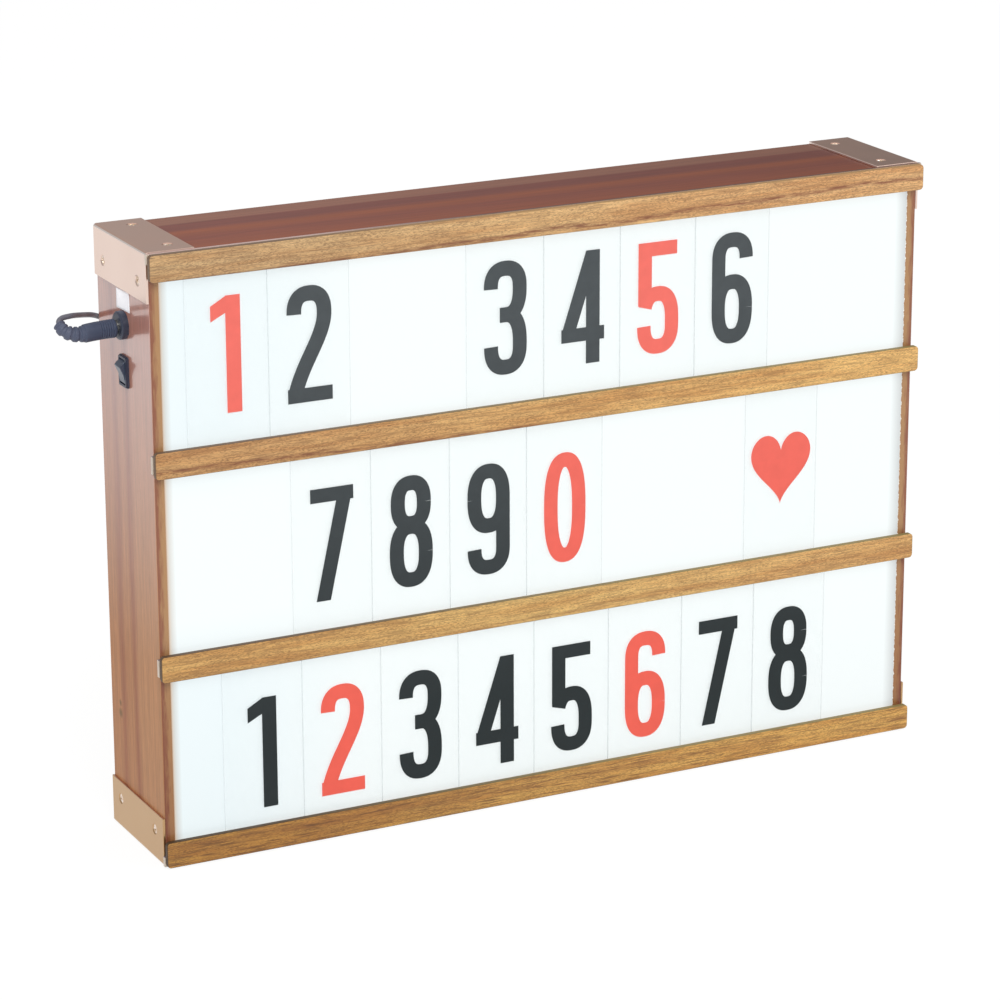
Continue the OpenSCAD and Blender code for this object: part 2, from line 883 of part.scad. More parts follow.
module lead_coil() {
    color("#5A5F68")
        translate([coil_x, coil_y, coil_lift])
            rotate_extrude()
                translate([coil_mid_r - coil_across / 2, 0])
                    square([coil_across, coil_h]);
}

// A flat band round the turns of the coil
module coil_tie() {
    inside = [coil_across + 2 * tie_play, tie_w + 2, coil_h + 2 * tie_play];
    outside = [inside[0] + 2 * tie_t, tie_w, inside[2] + 2 * tie_t];
    color("#2F3238")
        translate([coil_x + coil_mid_r, coil_y, coil_lift + coil_h / 2])
            difference() {
                cube(outside, center = true);
                cube(inside, center = true);
            }
}

module usb_grip() {
    color("#3C434F")
        translate([usb_x, usb_y, usb_z - usb_grip_t / 2])
            rotate([90, 0, 90])
                linear_extrude(usb_grip_l)
                    rounded_rect(usb_grip_w, usb_grip_t, usb_r);
}

module usb_shell() {
    color("#CFD2D5")
        translate([usb_x + usb_grip_l, usb_y - usb_shell_w / 2, usb_z - usb_shell_t / 2])
            difference() {
                cube([usb_shell_l, usb_shell_w, usb_shell_t]);
                translate([usb_wall, usb_wall, usb_shell_t / 2])
                    cube([usb_shell_l, usb_shell_w - 2 * usb_wall, usb_shell_t / 2 - usb_wall]);
            }
}

// One clear tile with its left edge at x, in the track of a row
module letter_tile(x, row) {
    color("#F2F7F7")
        translate([x + tile_w / 2, 0, 0])
            front_plate(tile_w, tile_h, tile_t, tile_r, tile_y, row_floor(row) + tile_under);
}

top_board();
bottom_board();
left_side_board();
right_side_board();
back_panel();
back_panel_screws();
diffuser_panel();
side_ledges();
cross_ledges();
side_battens();
cross_battens();
bottom_rail();
lower_rail();
upper_rail();
top_rail();
bottom_spacer();
lower_spacer();
upper_spacer();
top_spacer();
corner_bracket(-1, 1);  // top_left_bracket
corner_bracket(1, 1);  // top_right_bracket
corner_bracket(-1, -1);  // bottom_left_bracket
corner_bracket(1, -1);  // bottom_right_bracket
bracket_screws();
led_strips();
led_chips();
dc_socket();
dc_socket_nut();
switch_body();
switch_rocker();
solder_tags();
wiring();
plug_grip();
plug_barrel();
lead_cord();
lead_coil();
coil_tie();
lead_tail();
usb_grip();
usb_shell();
for (i = [1 : len(top_tiles)])
    letter_tile(top_tiles[i - 1], 2);
for (i = [1 : len(mid_tiles)])
    letter_tile(mid_tiles[i - 1], 1);
for (i = [1 : len(low_tiles)])
    letter_tile(low_tiles[i - 1], 0);
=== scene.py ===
"""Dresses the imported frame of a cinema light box: wood, copper corners, lit panel, number tiles and lead."""

import math

import bmesh
import bpy
import numpy as np
from mathutils import Matrix, Vector
from mathutils.geometry import delaunay_2d_cdt


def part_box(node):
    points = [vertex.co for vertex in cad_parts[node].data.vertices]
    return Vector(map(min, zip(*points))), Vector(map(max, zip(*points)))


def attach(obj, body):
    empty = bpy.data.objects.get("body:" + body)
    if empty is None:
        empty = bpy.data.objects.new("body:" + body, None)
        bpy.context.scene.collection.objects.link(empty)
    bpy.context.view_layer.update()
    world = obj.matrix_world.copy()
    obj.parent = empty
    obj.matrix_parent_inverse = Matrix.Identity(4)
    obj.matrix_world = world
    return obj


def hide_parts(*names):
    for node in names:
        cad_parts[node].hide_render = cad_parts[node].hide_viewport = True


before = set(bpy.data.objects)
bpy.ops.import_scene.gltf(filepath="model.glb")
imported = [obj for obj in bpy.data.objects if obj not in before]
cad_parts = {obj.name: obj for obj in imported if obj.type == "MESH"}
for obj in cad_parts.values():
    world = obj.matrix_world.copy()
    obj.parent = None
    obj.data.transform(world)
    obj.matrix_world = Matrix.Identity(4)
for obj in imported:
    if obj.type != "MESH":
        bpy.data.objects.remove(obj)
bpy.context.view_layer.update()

bl_info = {
    "name": "Cinema Light Box",
    "version": (1, 0, 0),
    "blender": (4, 5, 0),
    "location": "3D View > Sidebar > Light Box",
    "description": "Builds a wooden cinema light box with sliding number tiles around its packed frame",
    "category": "Object",
}

MM = 0.001
A, B = 6, 7  # the colour inputs of a Mix node
MIXED = 2  # its colour output
MIX = {"data_type": "RGBA"}  # its settings to mix colours
TINT = {"data_type": "RGBA", "blend_type": "MULTIPLY"}  # and to multiply them
WHITE = (1.0, 1.0, 1.0, 1.0)
NOTHING = (0.0, 0.0, 0.0, 1.0)
SHARP = math.radians(30)  # an edge that turns more than this is sharp
COPLANAR = math.radians(0.5)  # faces that turn less than this are one
WELD = 0.001 * MM  # points closer than this are one
FLAT = 40e-6  # faces of this area and more are plane, in square metres
BOARD_FACE = 30e-6  # the sharp edges of a board are between faces of at least this area
PLATE_FACE = 3e-6  # and those of a bracket between these
HEAD_SIDES = 48  # corners of a screw head
FILM_GAP = 0.01 * MM  # between a tile and what is printed on it


def linear(hex_colour):
    """Turns an sRGB hex colour into linear red, green, blue and alpha."""
    parts = [int(hex_colour[i : i + 2], 16) / 255 for i in (1, 3, 5)]
    return (*((c / 12.92 if c <= 0.04045 else ((c + 0.055) / 1.055) ** 2.4) for c in parts), 1.0)


def swatch(name, hex_colour, description):
    """A colour that the user can change."""
    return bpy.props.FloatVectorProperty(
        name=name, description=description, default=linear(hex_colour), subtype="COLOR", size=4, min=0, max=1
    )


def length(name, millimetres, description):
    """A length that the user can change, kept in metres."""
    return bpy.props.FloatProperty(
        name=name, description=description, default=millimetres * MM, unit="LENGTH", min=0, precision=5
    )


def bearing(name, degrees, description):
    """An angle that the user can change, kept in radians."""
    return bpy.props.FloatProperty(
        name=name, description=description, default=math.radians(degrees), subtype="ANGLE"
    )


def amount(name, value, description):
    """A number from 0 up that the user can change."""
    return bpy.props.FloatProperty(name=name, description=description, default=value, min=0)


def count(name, value, description):
    """A whole number from 1 up that the user can change."""
    return bpy.props.IntProperty(name=name, description=description, default=value, min=1)


def share(name, value, description):
    """A factor from 0 to 1 that the user can change."""
    return bpy.props.FloatProperty(
        name=name, description=description, default=value, subtype="FACTOR", min=0, max=1
    )


class LightBoxWood(bpy.types.PropertyGroup):
    """Colours and grain sizes of the boards, rails and battens"""

    rail_light: swatch("Rail light", "#E6BA77", "Ground colour of the rail veneer between its pores")
    rail_mid: swatch("Rail mid", "#D09C5C", "Darker ground colour of the rail veneer")
    rail_pore: swatch("Rail pore", "#77512C", "Short dark pores of the rail veneer")
    rail_vein: swatch("Rail vein", "#7C4526", "Long dark veins of the rail veneer")
    rail_scorch: swatch("Rail edge", "#4E3A26", "Laser-cut edge of the bottom rail")
    rail_scorch_high: swatch("Rail edge above", "#7C6450", "Laser-cut edge of the top rail")
    rail_scorch_right: swatch("Rail edge right", "#8C7B4E", "Laser-cut edge of the rails' right ends")
    rail_lip: swatch("Rail lip", "#B08A5C", "Pale upper edge of the top rail's right half")
    rail_rim: length("Scorched rim", 0.4, "How far the scorch of a rail's edge reaches onto its front")
    pore_length: length("Pore length", 1.6, "Length of a pore along the rail")
    pore_width: length("Pore width", 0.3, "Height of a pore across the rail")
    level_front: swatch("Level front", "#984E2C", "Red-brown front of the top and bottom boards")
    level_middle: swatch("Level middle", "#874331", "Middle of the top and bottom boards")
    level_streak: swatch("Level streak", "#7E4034", "Dark lengthwise streak of the top and bottom boards")
    level_back: swatch("Level back", "#94604C", "Lighter band at the back of the top and bottom boards")
    upright_pale: swatch("Upright pale", "#C48D62", "Tan front half of the side boards")
    upright_deep: swatch("Upright deep", "#BF855A", "Redder back half of the side boards")
    upright_streak: swatch("Upright streak", "#A96C4C", "Two dark streaks of the side boards")
    knot: swatch("Knot", "#6B5A35", "Two small knots of the side boards")
    board_edge: swatch("Board edge", "#B4895F", "Inner part of the boards' front and back edges")
    board_edge_dark: swatch("Board edge dark", "#955E46", "Red-brown outer part of those edges")
    board_ease: length("Board arris", 0.5, "Rounding of the boards' long edges")
    rail_ease: length("Rail arris", 0.35, "Rounding of the rails' front edges")
    hardboard: swatch("Back panel", "#9C7350", "Pressed fibre of the back panel")
    hardboard_fleck: swatch("Back panel fleck", "#6E4C30", "Dark fibres of the back panel")
    pine_light: swatch("Pine light", "#DDC08F", "Early wood of the battens")
    pine_dark: swatch("Pine dark", "#C09A62", "Late wood of the battens")


class LightBoxMetal(bpy.types.PropertyGroup):
    """Colours of the metal pieces"""

    copper: swatch("Rose copper", "#E9D1C4", "Upright faces of the upper corner brackets")
    # Painted shade: level faces get a deeper copper than upright ones
    copper_shaded_level: swatch("Copper from above", "#D9B3A1", "Level faces of the corner brackets")
    copper_low: swatch("Tan copper", "#BF9B71", "Lower corner brackets")
    # Painted highlight: the bright colour of the upper brackets' cut edges
    copper_highlight: swatch("Cut copper", "#FFF1EA", "Bright cut edges of the upper brackets")
    plate_ease: length("Plate arris", 0.25, "Rounding of the brackets' cut edges")
    screw: swatch("Bracket screw", "#F4E6DC", "Plate of the bracket screws")
    screw_in: length("Screw inset", 15.5, "Distance of the bracket screws from the outer corner")
    screw_pitch: length("Screw pitch", 44, "Distance between the two screws on one leg")
    head_radius: length("Head radius", 2.3, "Radius of a bracket screw's head at its rim")
    head_sink: length("Head sink", 0.38, "Depth of the head's rim under the plate")
    zinc: swatch("Zinc", "#B9BDBE", "Zinc plate of the back panel's screws")
    nickel: swatch("Nickel", "#CFCDC6", "Nickel plate of the plug, its nut and the far connector")
    brass: swatch("Tinned brass", "#D5C896", "Solder tags")


class LightBoxLight(bpy.types.PropertyGroup):
    """The lit panel and what is behind it"""

    glow: swatch("Panel glow", "#FAFFFF", "Colour of the lit panel")
    glow_left: swatch("Glow at the left", "#DCC0A8", "Peach-coloured fall-off beside the left board")
    glow_near: swatch("Glow near the left", "#EFF9FC", "Cool light of the upper and lower row's left part")
    glow_right: swatch("Glow at the right", "#D0CDCC", "Grey fall-off beside the right board")
    strength: amount("Glow strength", 0.76, "Light that the panel sends out, 1 being white")
    fall_off: length("Fall-off", 9.0, "Width of the dimmer band beside the right board")
    panel_body: swatch("Panel body", "#7E8484", "Colour that the opal panel reflects")
    phosphor: swatch("Phosphor", "#FFF0B5", "Light sources")


class LightBoxLetters(bpy.types.PropertyGroup):
    """The printed figures"""

    height: length("Figure height", 56.5, "Height of a printed figure")
    width: length("Figure width", 23.0, "Width of a wide printed figure")
    stroke: length("Stroke", 7.5, "Width of a figure's stroke")
    drop: length("Drop", 1.3, "How far the figures' middle is under the tiles' middle")
    film: length("Film", 0.05, "Thickness of the printed film")
    heart: length("Heart", 34.5, "Width of the heart")
    black: swatch("Black ink", "#1A2426", "Black figures of the lowest row")
    black_high: swatch("Black ink above", "#484E51", "Black figures of the top row")
    red: swatch("Red ink", "#F06151", "Red figures of the lowest row")
    red_high: swatch("Red ink above", "#F47266", "Red figures of the top row")
    red_glow: share("Red glow", 0.42, "Panel light that comes through the red ink")


class LightBoxLead(bpy.types.PropertyGroup):
    """The power lead and its plugs"""

    diameter: length("Lead diameter", 2.6, "Diameter of the lead's jacket")
    grip_length: length("Grip length", 16.0, "Length of the plug's grip")
    grip_radius: length("Grip radius", 4.5, "Radius of the plug's grip")
    boot_radius: length("Relief radius", 3.9, "Radius of the strain relief at the grip")
    boot_tip: length("Relief tip", 3.0, "Radius of the strain relief at its tip")
    ring_depth: length("Ring depth", 0.22, "Depth of the fine rings of the grip")
    rib_depth: length("Rib depth", 0.7, "Depth of the grooves between the ribs")
    ribs: count("Ribs", 4, "Ribs of the strain relief")
    droop: length("Droop", 1.9, "How far the plug's end hangs under the socket's middle")
    coil_radius: length("Coil radius", 15.2, "Radius of the coil at the middle of its turns")
    coil_pitch: length("Turn pitch", 2.7, "Distance between turns that lie side by side")
    turns_across: count("Turns", 3, "Turns in each layer of the coil")
    jacket: swatch("Jacket", "#70707C", "Jacket of the lead")
    rubber: swatch("Plug", "#3B465F", "Moulded grips")
    rubber_tip: swatch("Relief", "#585E74", "Tip of the plug's strain relief")
    socket: swatch("Socket", "#333A4D", "Socket and switch frame")
    rocker: swatch("Rocker", "#3F495C", "Switch rocker")
    label: swatch("Label", "#F1F0F4", "Blank paper label over the socket")


class LightBoxStage(bpy.types.PropertyGroup):
    """Camera, lamps and floor"""

    azimuth: bearing("Azimuth", -26.629, "Camera's turn from the front")
    elevation: bearing("Elevation", 17.463, "Camera's height angle")
    roll: bearing("Roll", -0.194, "Camera's turn about its view")
    place: bpy.props.FloatVectorProperty(
        name="Camera",
        description="Camera's place",
        subtype="TRANSLATION",
        default=(-0.8374, -1.6459, 0.7267),
    )
    focal: amount("Focal length", 140.02, "In mm on a 36 mm sensor")
    key_watts: amount("Key lamp", 26, "Power of the key lamp in watts")
    fill_watts: amount("Fill lamp", 12, "Power of the fill lamp in watts")
    sky: amount("Room light", 0.62, "Even light of the room")
    floor: swatch("Floor", "#EDEDED", "Floor colour")


def plug(node, inputs):
    """Sets a node's inputs, by name or number, to values or links. A node stands for its result."""
    for key, value in inputs.items():
        if isinstance(value, bpy.types.Node):
            value = value.outputs[MIXED if getattr(value, "data_type", "") == "RGBA" else 0]
        if isinstance(value, bpy.types.NodeSocket):
            node.id_data.links.new(value, node.inputs[key])
        else:
            node.inputs[key].default_value = value


def add(tree, kind, inputs=None, stops=None, **settings):
    """Adds a node of a kind with its settings and inputs, and with a ramp's stops: places and colours."""
    node = tree.nodes.new("ShaderNode" + kind)
    for name, value in settings.items():
        setattr(node, name, value)
    plug(node, inputs or {})
    if stops:
        elements = node.color_ramp.elements
        elements.remove(elements[1])
        elements[0].position, elements[0].color = stops[0]
        for position, colour in stops[1:]:
            elements.new(position).color = colour
    return node


def new_material(name, inputs):
    """A material with one Principled shader whose sockets are set by name, with its tree and its shader."""
    material = bpy.data.materials.new(name)
    material.use_nodes = True
    tree = material.node_tree
    shader = tree.nodes["Principled BSDF"]
    plug(shader, inputs)
    return material, tree, shader


def grain(tree, feature, detail=2.0, distortion=0.0, levels=None):
    """Noise from 0 to 1 whose blotches are about feature long, in mm along x, y and z of the object.

    With levels, noise from the first of them to the second becomes the third to the fourth.
    """
    place = add(tree, "TexCoord")
    scaled = add(
        tree, "Mapping", {"Vector": place.outputs["Object"], "Scale": [1 / (size * MM) for size in feature]}
    )
    noise = add(
        tree, "TexNoise", {"Vector": scaled, "Scale": 1.0, "Detail": detail, "Distortion": distortion}
    )
    if not levels:
        return noise
    return add(tree, "MapRange", {0: noise, 1: levels[0], 2: levels[1], 3: levels[2], 4: levels[3]})


def relief(tree, shader, height, depth):
    """Raises the surface by a 0 to 1 height times depth in metres."""
    bump = add(tree, "Bump", {"Height": height, "Distance": depth, "Strength": 1.0})
    plug(shader, {"Normal": bump})


def facing(tree, axis):
    """1 where the face looks along the object's axis (0 x, 1 y, 2 z), either way, and 0 elsewhere."""
    place = add(tree, "TexCoord")
    parts = add(tree, "SeparateXYZ", {0: place.outputs["Normal"]})
    size = add(tree, "Math", {0: parts.outputs[axis]}, operation="ABSOLUTE")
    return add(tree, "Math", {0: size, 1: 0.75}, operation="GREATER_THAN")


def along(tree, axis, start, end, first=0.0, last=1.0):
    """Goes from first to last while x, y or z (axis 0, 1 or 2) of the object goes from start to end."""
    place = add(tree, "TexCoord")
    parts = add(tree, "SeparateXYZ", {0: place.outputs["Object"]})
    return add(tree, "MapRange", {0: parts.outputs[axis], 1: start, 2: end, 3: first, 4: last})


# Each rail's cast at its left end, middle and right end, its vein's height share at both ends and strength,
# and the strength of its streaks
RAILS = {
    "top_rail": {
        "casts": ((0.87, 0.91, 1.14, 1), (1.01, 1.01, 1.15, 1), (1.11, 1.07, 1.22, 1)),
        "vein": (-0.15, 0.5, 0.9),
        "streaks": 0.5,
    },
    "upper_rail": {
        "casts": ((0.86, 0.78, 0.79, 1), (1.03, 1.0, 0.94, 1), (1.15, 1.13, 1.01, 1)),
        "vein": (0.28, -0.3, 0.8),
        "streaks": 0.5,
    },
    "lower_rail": {
        "casts": ((0.91, 0.85, 0.71, 1), (1.04, 1.08, 0.96, 1), (1.04, 0.99, 0.92, 1)),
        "vein": (0.02, 0.3, 0.25),
        "streaks": 0.5,
    },
    "bottom_rail": {
        "casts": ((0.65, 0.51, 0.22, 1), (0.85, 0.77, 0.49, 1), (1.02, 0.95, 0.62, 1)),
        "vein": (0.75, 0.5, 0.35),
        "streaks": 0.8,
    },
}
CAST_PLACES = (0.14, 0.5, 0.86)  # where those casts lie, as shares of the rail's length
KNOTS = ((23.8, 60.4, 2.4), (23.8, 65.6, 1.7))  # the side boards' knots: y, z and radius in mm


def open_pored_veneer(wood, node):
    """Varnished veneer, laser cut: golden ground, fine dark pores, one long vein, scorched edges."""
    rail = RAILS[node]
    vein_left, vein_right, vein_strength = rail["vein"]
    low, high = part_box(node)
    material, tree, shader = new_material("veneer_of_" + node, {"Roughness": 0.46, "Coat Roughness": 0.3})
    long_mm, wide_mm = wood.pore_length / MM, wood.pore_width / MM
    ground = add(
        tree,
        "ValToRGB",
        {"Fac": grain(tree, (60, 60, 3.5), 5.0, 0.3)},
        stops=[(0.36, wood.rail_light), (0.62, wood.rail_mid)],
    )
    # Faint wavy figure along the rail
    figure_share = grain(tree, (16, 16, 1.1), 3.0, 0.8, levels=(0.3, 0.7, 1.12, 0.86))
    figured = add(tree, "Mix", {0: 1.0, A: ground, B: figure_share}, **TINT)
    # Pores are short wavy dashes; they come and go in patches along the rail
    patches = grain(tree, (22, 22, 4), levels=(0.3, 0.7, 0.05, -0.03))
    pores = add(tree, "Math", {0: grain(tree, (long_mm, long_mm, wide_mm), 3.0, 0.6), 1: patches})
    pore_mask = add(tree, "MapRange", {0: pores, 1: 0.48, 2: 0.64, 3: 0.0, 4: 0.7})
    # Between them run long hair-thin streaks
    streaks = grain(tree, (13, 13, 0.6), 4.0, 0.5, levels=(0.5, 0.62, 0.0, rail["streaks"]))
    dark = add(tree, "Math", {0: pore_mask, 1: streaks}, operation="MAXIMUM")
    pored = add(tree, "Mix", {0: dark, A: figured, B: wood.rail_pore}, **MIX)
    # The vein runs from one height share to another; a noise bends it and breaks it up
    wander = grain(tree, (45, 45, 45), 3.0, levels=(0.2, 0.8, -0.16, 0.16))
    course = add(tree, "Math", {0: along(tree, 0, low.x, high.x, vein_left, vein_right), 1: wander})
    off = add(tree, "Math", {0: along(tree, 2, low.z, high.z), 1: course}, operation="SUBTRACT")
    aside = add(tree, "Math", {0: off}, operation="ABSOLUTE")
    line = add(tree, "MapRange", {0: aside, 1: 0.02, 2: 0.13, 3: vein_strength, 4: 0.0})
    broken = grain(tree, (9, 9, 0.8), 2.0, levels=(0.36, 0.6, 0.25, 1.0))
    vein_mask = add(tree, "Math", {0: line, 1: broken}, operation="MULTIPLY")
    veined = add(tree, "Mix", {0: vein_mask, A: pored, B: wood.rail_vein}, **MIX)
    # The veneer is deeper to the left, and each rail has its own cast
    cast = add(
        tree, "ValToRGB", {"Fac": along(tree, 0, low.x, high.x)}, stops=list(zip(CAST_PLACES, rail["casts"]))
    )
    tinted = add(tree, "Mix", {0: 1.0, A: veined, B: cast}, **TINT)
    # The cut edges are scorched, and so is a narrow rim of the front. They are paler to the right, most
    # of all on the top rail
    scorch = add(
        tree, "Mix", {0: along(tree, 2, 0.01, 0.29), A: wood.rail_scorch, B: wood.rail_scorch_high}, **MIX
    )
    last_scorch, last_x = (wood.rail_lip, -0.03) if node == "top_rail" else (wood.rail_scorch_right, 0.05)
    scorch = add(tree, "Mix", {0: along(tree, 0, -0.15, last_x), A: scorch, B: last_scorch}, **MIX)
    rim = wood.rail_rim
    burnt = add(
        tree,
        "Math",
        {
            0: along(tree, 2, high.z - 0.7 * rim, high.z - 0.3 * rim),
            1: along(tree, 2, low.z + rim, low.z + 0.4 * rim, 0.0, 0.9),
        },
        operation="MAXIMUM",
    )
    for start, end in ((low.x + rim, low.x + 0.4 * rim), (high.x - rim, high.x - 0.4 * rim)):
        burnt = add(tree, "Math", {0: burnt, 1: along(tree, 0, start, end, 0.0, 0.8)}, operation="MAXIMUM")
    cut = add(tree, "Math", {0: 1.0, 1: facing(tree, 1)}, operation="SUBTRACT")
    burnt = add(tree, "Math", {0: burnt, 1: cut}, operation="MAXIMUM")
    colour = add(tree, "Mix", {0: burnt, A: tinted, B: scorch}, **MIX)
    plug(shader, {"Base Color": colour})
    # Scorched wood has no varnish left
    for socket, varnished, bare in (("Coat Weight", 0.2, 0.0), ("Specular IOR Level", 0.5, 0.22)):
        plug(shader, {socket: add(tree, "MapRange", {0: burnt, 3: varnished, 4: bare})})
    relief(tree, shader, pores, 0.03 * MM)
    return material


def lacquered_level_board(wood):
    """Sapele under a gloss lacquer: lengthwise bands, red-brown in front, a dark streak, lighter behind."""
    material, tree, shader = new_material(
        "lacquered_level_board",
        {"Roughness": 0.5, "Specular IOR Level": 0.2, "Coat Weight": 0.2, "Coat Roughness": 0.12},
    )
    low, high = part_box("top_board")
    drift = grain(tree, (170, 20, 20), 3.0, levels=(0.0, 1.0, -0.035, 0.035))
    band = add(tree, "Math", {0: along(tree, 1, low.y, high.y), 1: drift})
    bands = add(
        tree,
        "ValToRGB",
        {"Fac": band},
        stops=[
            (0.0, wood.level_front),
            (0.34, wood.level_middle),
            (0.5, wood.level_front),
            (0.6, wood.level_streak),
            (0.75, wood.level_streak),
            (0.785, wood.level_back),
            (1.0, wood.level_back),
        ],
    )
    fine = grain(tree, (45, 0.9, 0.9), 3.0, levels=(0.3, 0.7, 0.84, 1.12))
    # The board is painted darker to the right: painted shade of the light that weakens across the top
    grain_and_painted_shade = add(tree, "Math", {0: fine, 1: along(tree, 0, -0.2, 0.2, 1.02, 0.76)}, operation="MULTIPLY")
    face = add(tree, "Mix", {0: 1.0, A: bands, B: grain_and_painted_shade}, **TINT)
    edge = add(
        tree,
        "ValToRGB",
        {"Fac": grain(tree, (30, 1.2, 1.2), 3.0)},
        stops=[(0.38, wood.board_edge_dark), (0.6, wood.board_edge)],
    )
    colour = add(tree, "Mix", {0: facing(tree, 2), A: edge, B: face}, **MIX)
    plug(shader, {"Base Color": colour})
    relief(tree, shader, grain(tree, (30, 0.8, 0.8), 2.0), 0.01 * MM)
    return material


def lacquered_side_board(wood, node):
    """Sapele under a gloss lacquer, grain upright: tan, red streaks, two knots, more sheen and a painted pink
    reflection higher up.
    """
    low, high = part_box(node)
    material, tree, shader = new_material(
        "lacquer_of_" + node,
        {"Roughness": 0.3, "Coat Roughness": 0.1, "Specular Tint": (0.55, 0.85, 1.0, 1.0)},
    )
    # Bands across the board's depth, from front to back, that drift a little on their way up
    drift = grain(tree, (30, 30, 160), 3.0, levels=(0.2, 0.8, -0.07, 0.07))
    across = add(tree, "Math", {0: along(tree, 1, low.y, high.y), 1: drift})
    bands = add(
        tree,
        "ValToRGB",
        {"Fac": across},
        stops=[
            (0.0, wood.upright_pale),
            (0.4, wood.upright_pale),
            (0.5, wood.upright_streak),
            (0.57, wood.upright_deep),
            (0.66, wood.upright_deep),
            (0.73, wood.upright_streak),
            (0.82, wood.upright_deep),
            (1.0, wood.upright_deep),
        ],
    )
    stripes = grain(tree, (1.8, 1.8, 60), 4.0, 0.2, levels=(0.3, 0.7, 1.12, 0.88))
    fine = grain(tree, (0.5, 0.5, 9), 3.0, 0.3, levels=(0.34, 0.66, 1.07, 0.9))
    grained = add(tree, "Math", {0: stripes, 1: fine}, operation="MULTIPLY")
    face = add(tree, "Mix", {0: 1.0, A: bands, B: grained}, **TINT)
    # Each knot is a round blot that fades outwards
    for y, z, radius in KNOTS:
        place = add(tree, "TexCoord")
        off = add(
            tree,
            "VectorMath",
            {0: place.outputs["Object"], 1: (low.x, y * MM, z * MM)},
            operation="SUBTRACT",
        )
        away = add(tree, "VectorMath", {0: off}, operation="LENGTH")
        spot = add(
            tree,
            "MapRange",
            {0: away.outputs["Value"], 1: 0.3 * radius * MM, 2: 1.3 * radius * MM, 3: 0.7, 4: 0.0},
        )
        face = add(tree, "Mix", {0: spot, A: face, B: wood.knot}, **MIX)
    # The front and back edges are golden inside and red-brown outside, with a blotchy border
    outer = (low.x, high.x) if high.x > 0 else (high.x, low.x)
    blotch = grain(tree, (1.0, 1.0, 8), 4.0, 0.4, levels=(0.2, 0.8, -0.35, 0.35))
    outward = add(tree, "Math", {0: along(tree, 0, *outer), 1: blotch})
    edge = add(
        tree, "ValToRGB", {"Fac": outward}, stops=[(0.35, wood.board_edge), (0.85, wood.board_edge_dark)]
    )
    redder = add(tree, "Mix", {0: along(tree, 2, 0.03, 0.12), A: (0.78, 0.66, 0.58, 1.0), B: WHITE}, **MIX)
    edge = add(tree, "Mix", {0: 1.0, A: edge, B: redder}, **TINT)
    # Higher up the face is painted pinker: a painted reflection of the pale surroundings in the lacquer
    climb = add(tree, "Math", {0: along(tree, 2, 0.09, 0.25), 1: 1.6}, operation="POWER")
    painted_reflection_tint = add(tree, "Mix", {0: climb, A: WHITE, B: (1.03, 0.93, 1.42, 1.0)}, **MIX)
    face = add(tree, "Mix", {0: 1.0, A: face, B: painted_reflection_tint}, **TINT)
    on_edge = facing(tree, 1)
    colour = add(tree, "Mix", {0: on_edge, A: face, B: edge}, **MIX)
    plug(shader, {"Base Color": colour})
    # The face's lacquer mirrors the pale surroundings more strongly higher up; the edges have little of it
    sheen = add(tree, "Mix", {0: on_edge, 2: climb, 3: 0.22})
    for socket, least, most in (("Coat Weight", 0.05, 1.0), ("Specular IOR Level", 0.05, 1.0)):
        plug(shader, {socket: add(tree, "MapRange", {0: sheen, 3: least, 4: most})})
    relief(tree, shader, grain(tree, (0.8, 0.8, 24), 2.0), 0.006 * MM)
    return material


def pressed_hardboard(wood):
    """Hardboard: pressed brown fibres, matt, a fine felt of short dark and light flecks."""
    material, tree, shader = new_material("pressed_hardboard", {"Roughness": 0.78})
    fibres = add(
        tree,
        "ValToRGB",
        {"Fac": grain(tree, (1.6, 1.6, 1.1), 5.0, 1.2)},
        stops=[(0.3, wood.hardboard_fleck), (0.56, wood.hardboard)],
    )
    plug(shader, {"Base Color": fibres})
    relief(tree, shader, grain(tree, (0.7, 0.7, 0.7), 3.0), 0.04 * MM)
    return material


def planed_pine(wood):
    """Planed pine battens: raw, pale, with soft growth lines."""
    material, tree, shader = new_material("planed_pine", {"Roughness": 0.7})
    rings = add(
        tree,
        "ValToRGB",
        {"Fac": grain(tree, (2.2, 1.4, 40), 2.0, 0.4)},
        stops=[(0.4, wood.pine_light), (0.62, wood.pine_dark)],
    )
    plug(shader, {"Base Color": rings})
    return material


def plated(name, bright, dull, roughness, patch_mm):
    """Plated sheet metal: clear reflections softened by the satin plate, with faint duller patches."""
    material, tree, shader = new_material(name, {"Metallic": 1.0, "Roughness": roughness})
    patches = grain(tree, (patch_mm, patch_mm, patch_mm), 4.0)
    colour = add(tree, "ValToRGB", {"Fac": patches}, stops=[(0.35, bright), (0.7, dull)])
    plug(shader, {"Base Color": colour})
    plug(
        shader,
        {
            "Roughness": add(
                tree,
                "MapRange",
                {0: patches, 1: 0.3, 2: 0.7, 3: roughness * 0.85, 4: min(roughness * 1.3, 1.0)},
            ),
        },
    )
    return material


def rose_copper(metal):
    """Satin rose-copper plate: pinkish on the upper brackets, tan on the lower ones; level faces painted a
    deeper copper as painted shade, upper cut edges given a painted highlight.
    """
    material, tree, shader = new_material("rose_copper_plate", {"Metallic": 1.0, "Roughness": 0.3})
    upright = add(tree, "Mix", {0: along(tree, 2, 0.1, 0.2), A: metal.copper_low, B: metal.copper}, **MIX)
    # Level faces are painted a deeper copper: painted shade of the dimmer room they mirror
    colour = add(tree, "Mix", {0: facing(tree, 2), A: upright, B: metal.copper_shaded_level}, **MIX)
    # Faces that look sideways in the top 1.2 mm of the upper plates, their cut edges and a thin band of their
    # upright faces, get a painted highlight
    plate_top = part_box("top_left_bracket")[1].z
    cut = add(
        tree,
        "Math",
        {0: facing(tree, 0), 1: along(tree, 2, plate_top - 1.4 * MM, plate_top - 1.2 * MM)},
        operation="MULTIPLY",
    )
    colour = add(tree, "Mix", {0: cut, A: colour, B: metal.copper_highlight}, **MIX)
    plug(shader, {"Base Color": colour})
    plug(shader, {"Roughness": grain(tree, (30, 30, 30), 1.0, levels=(0.2, 0.8, 0.28, 0.34))})
    return material


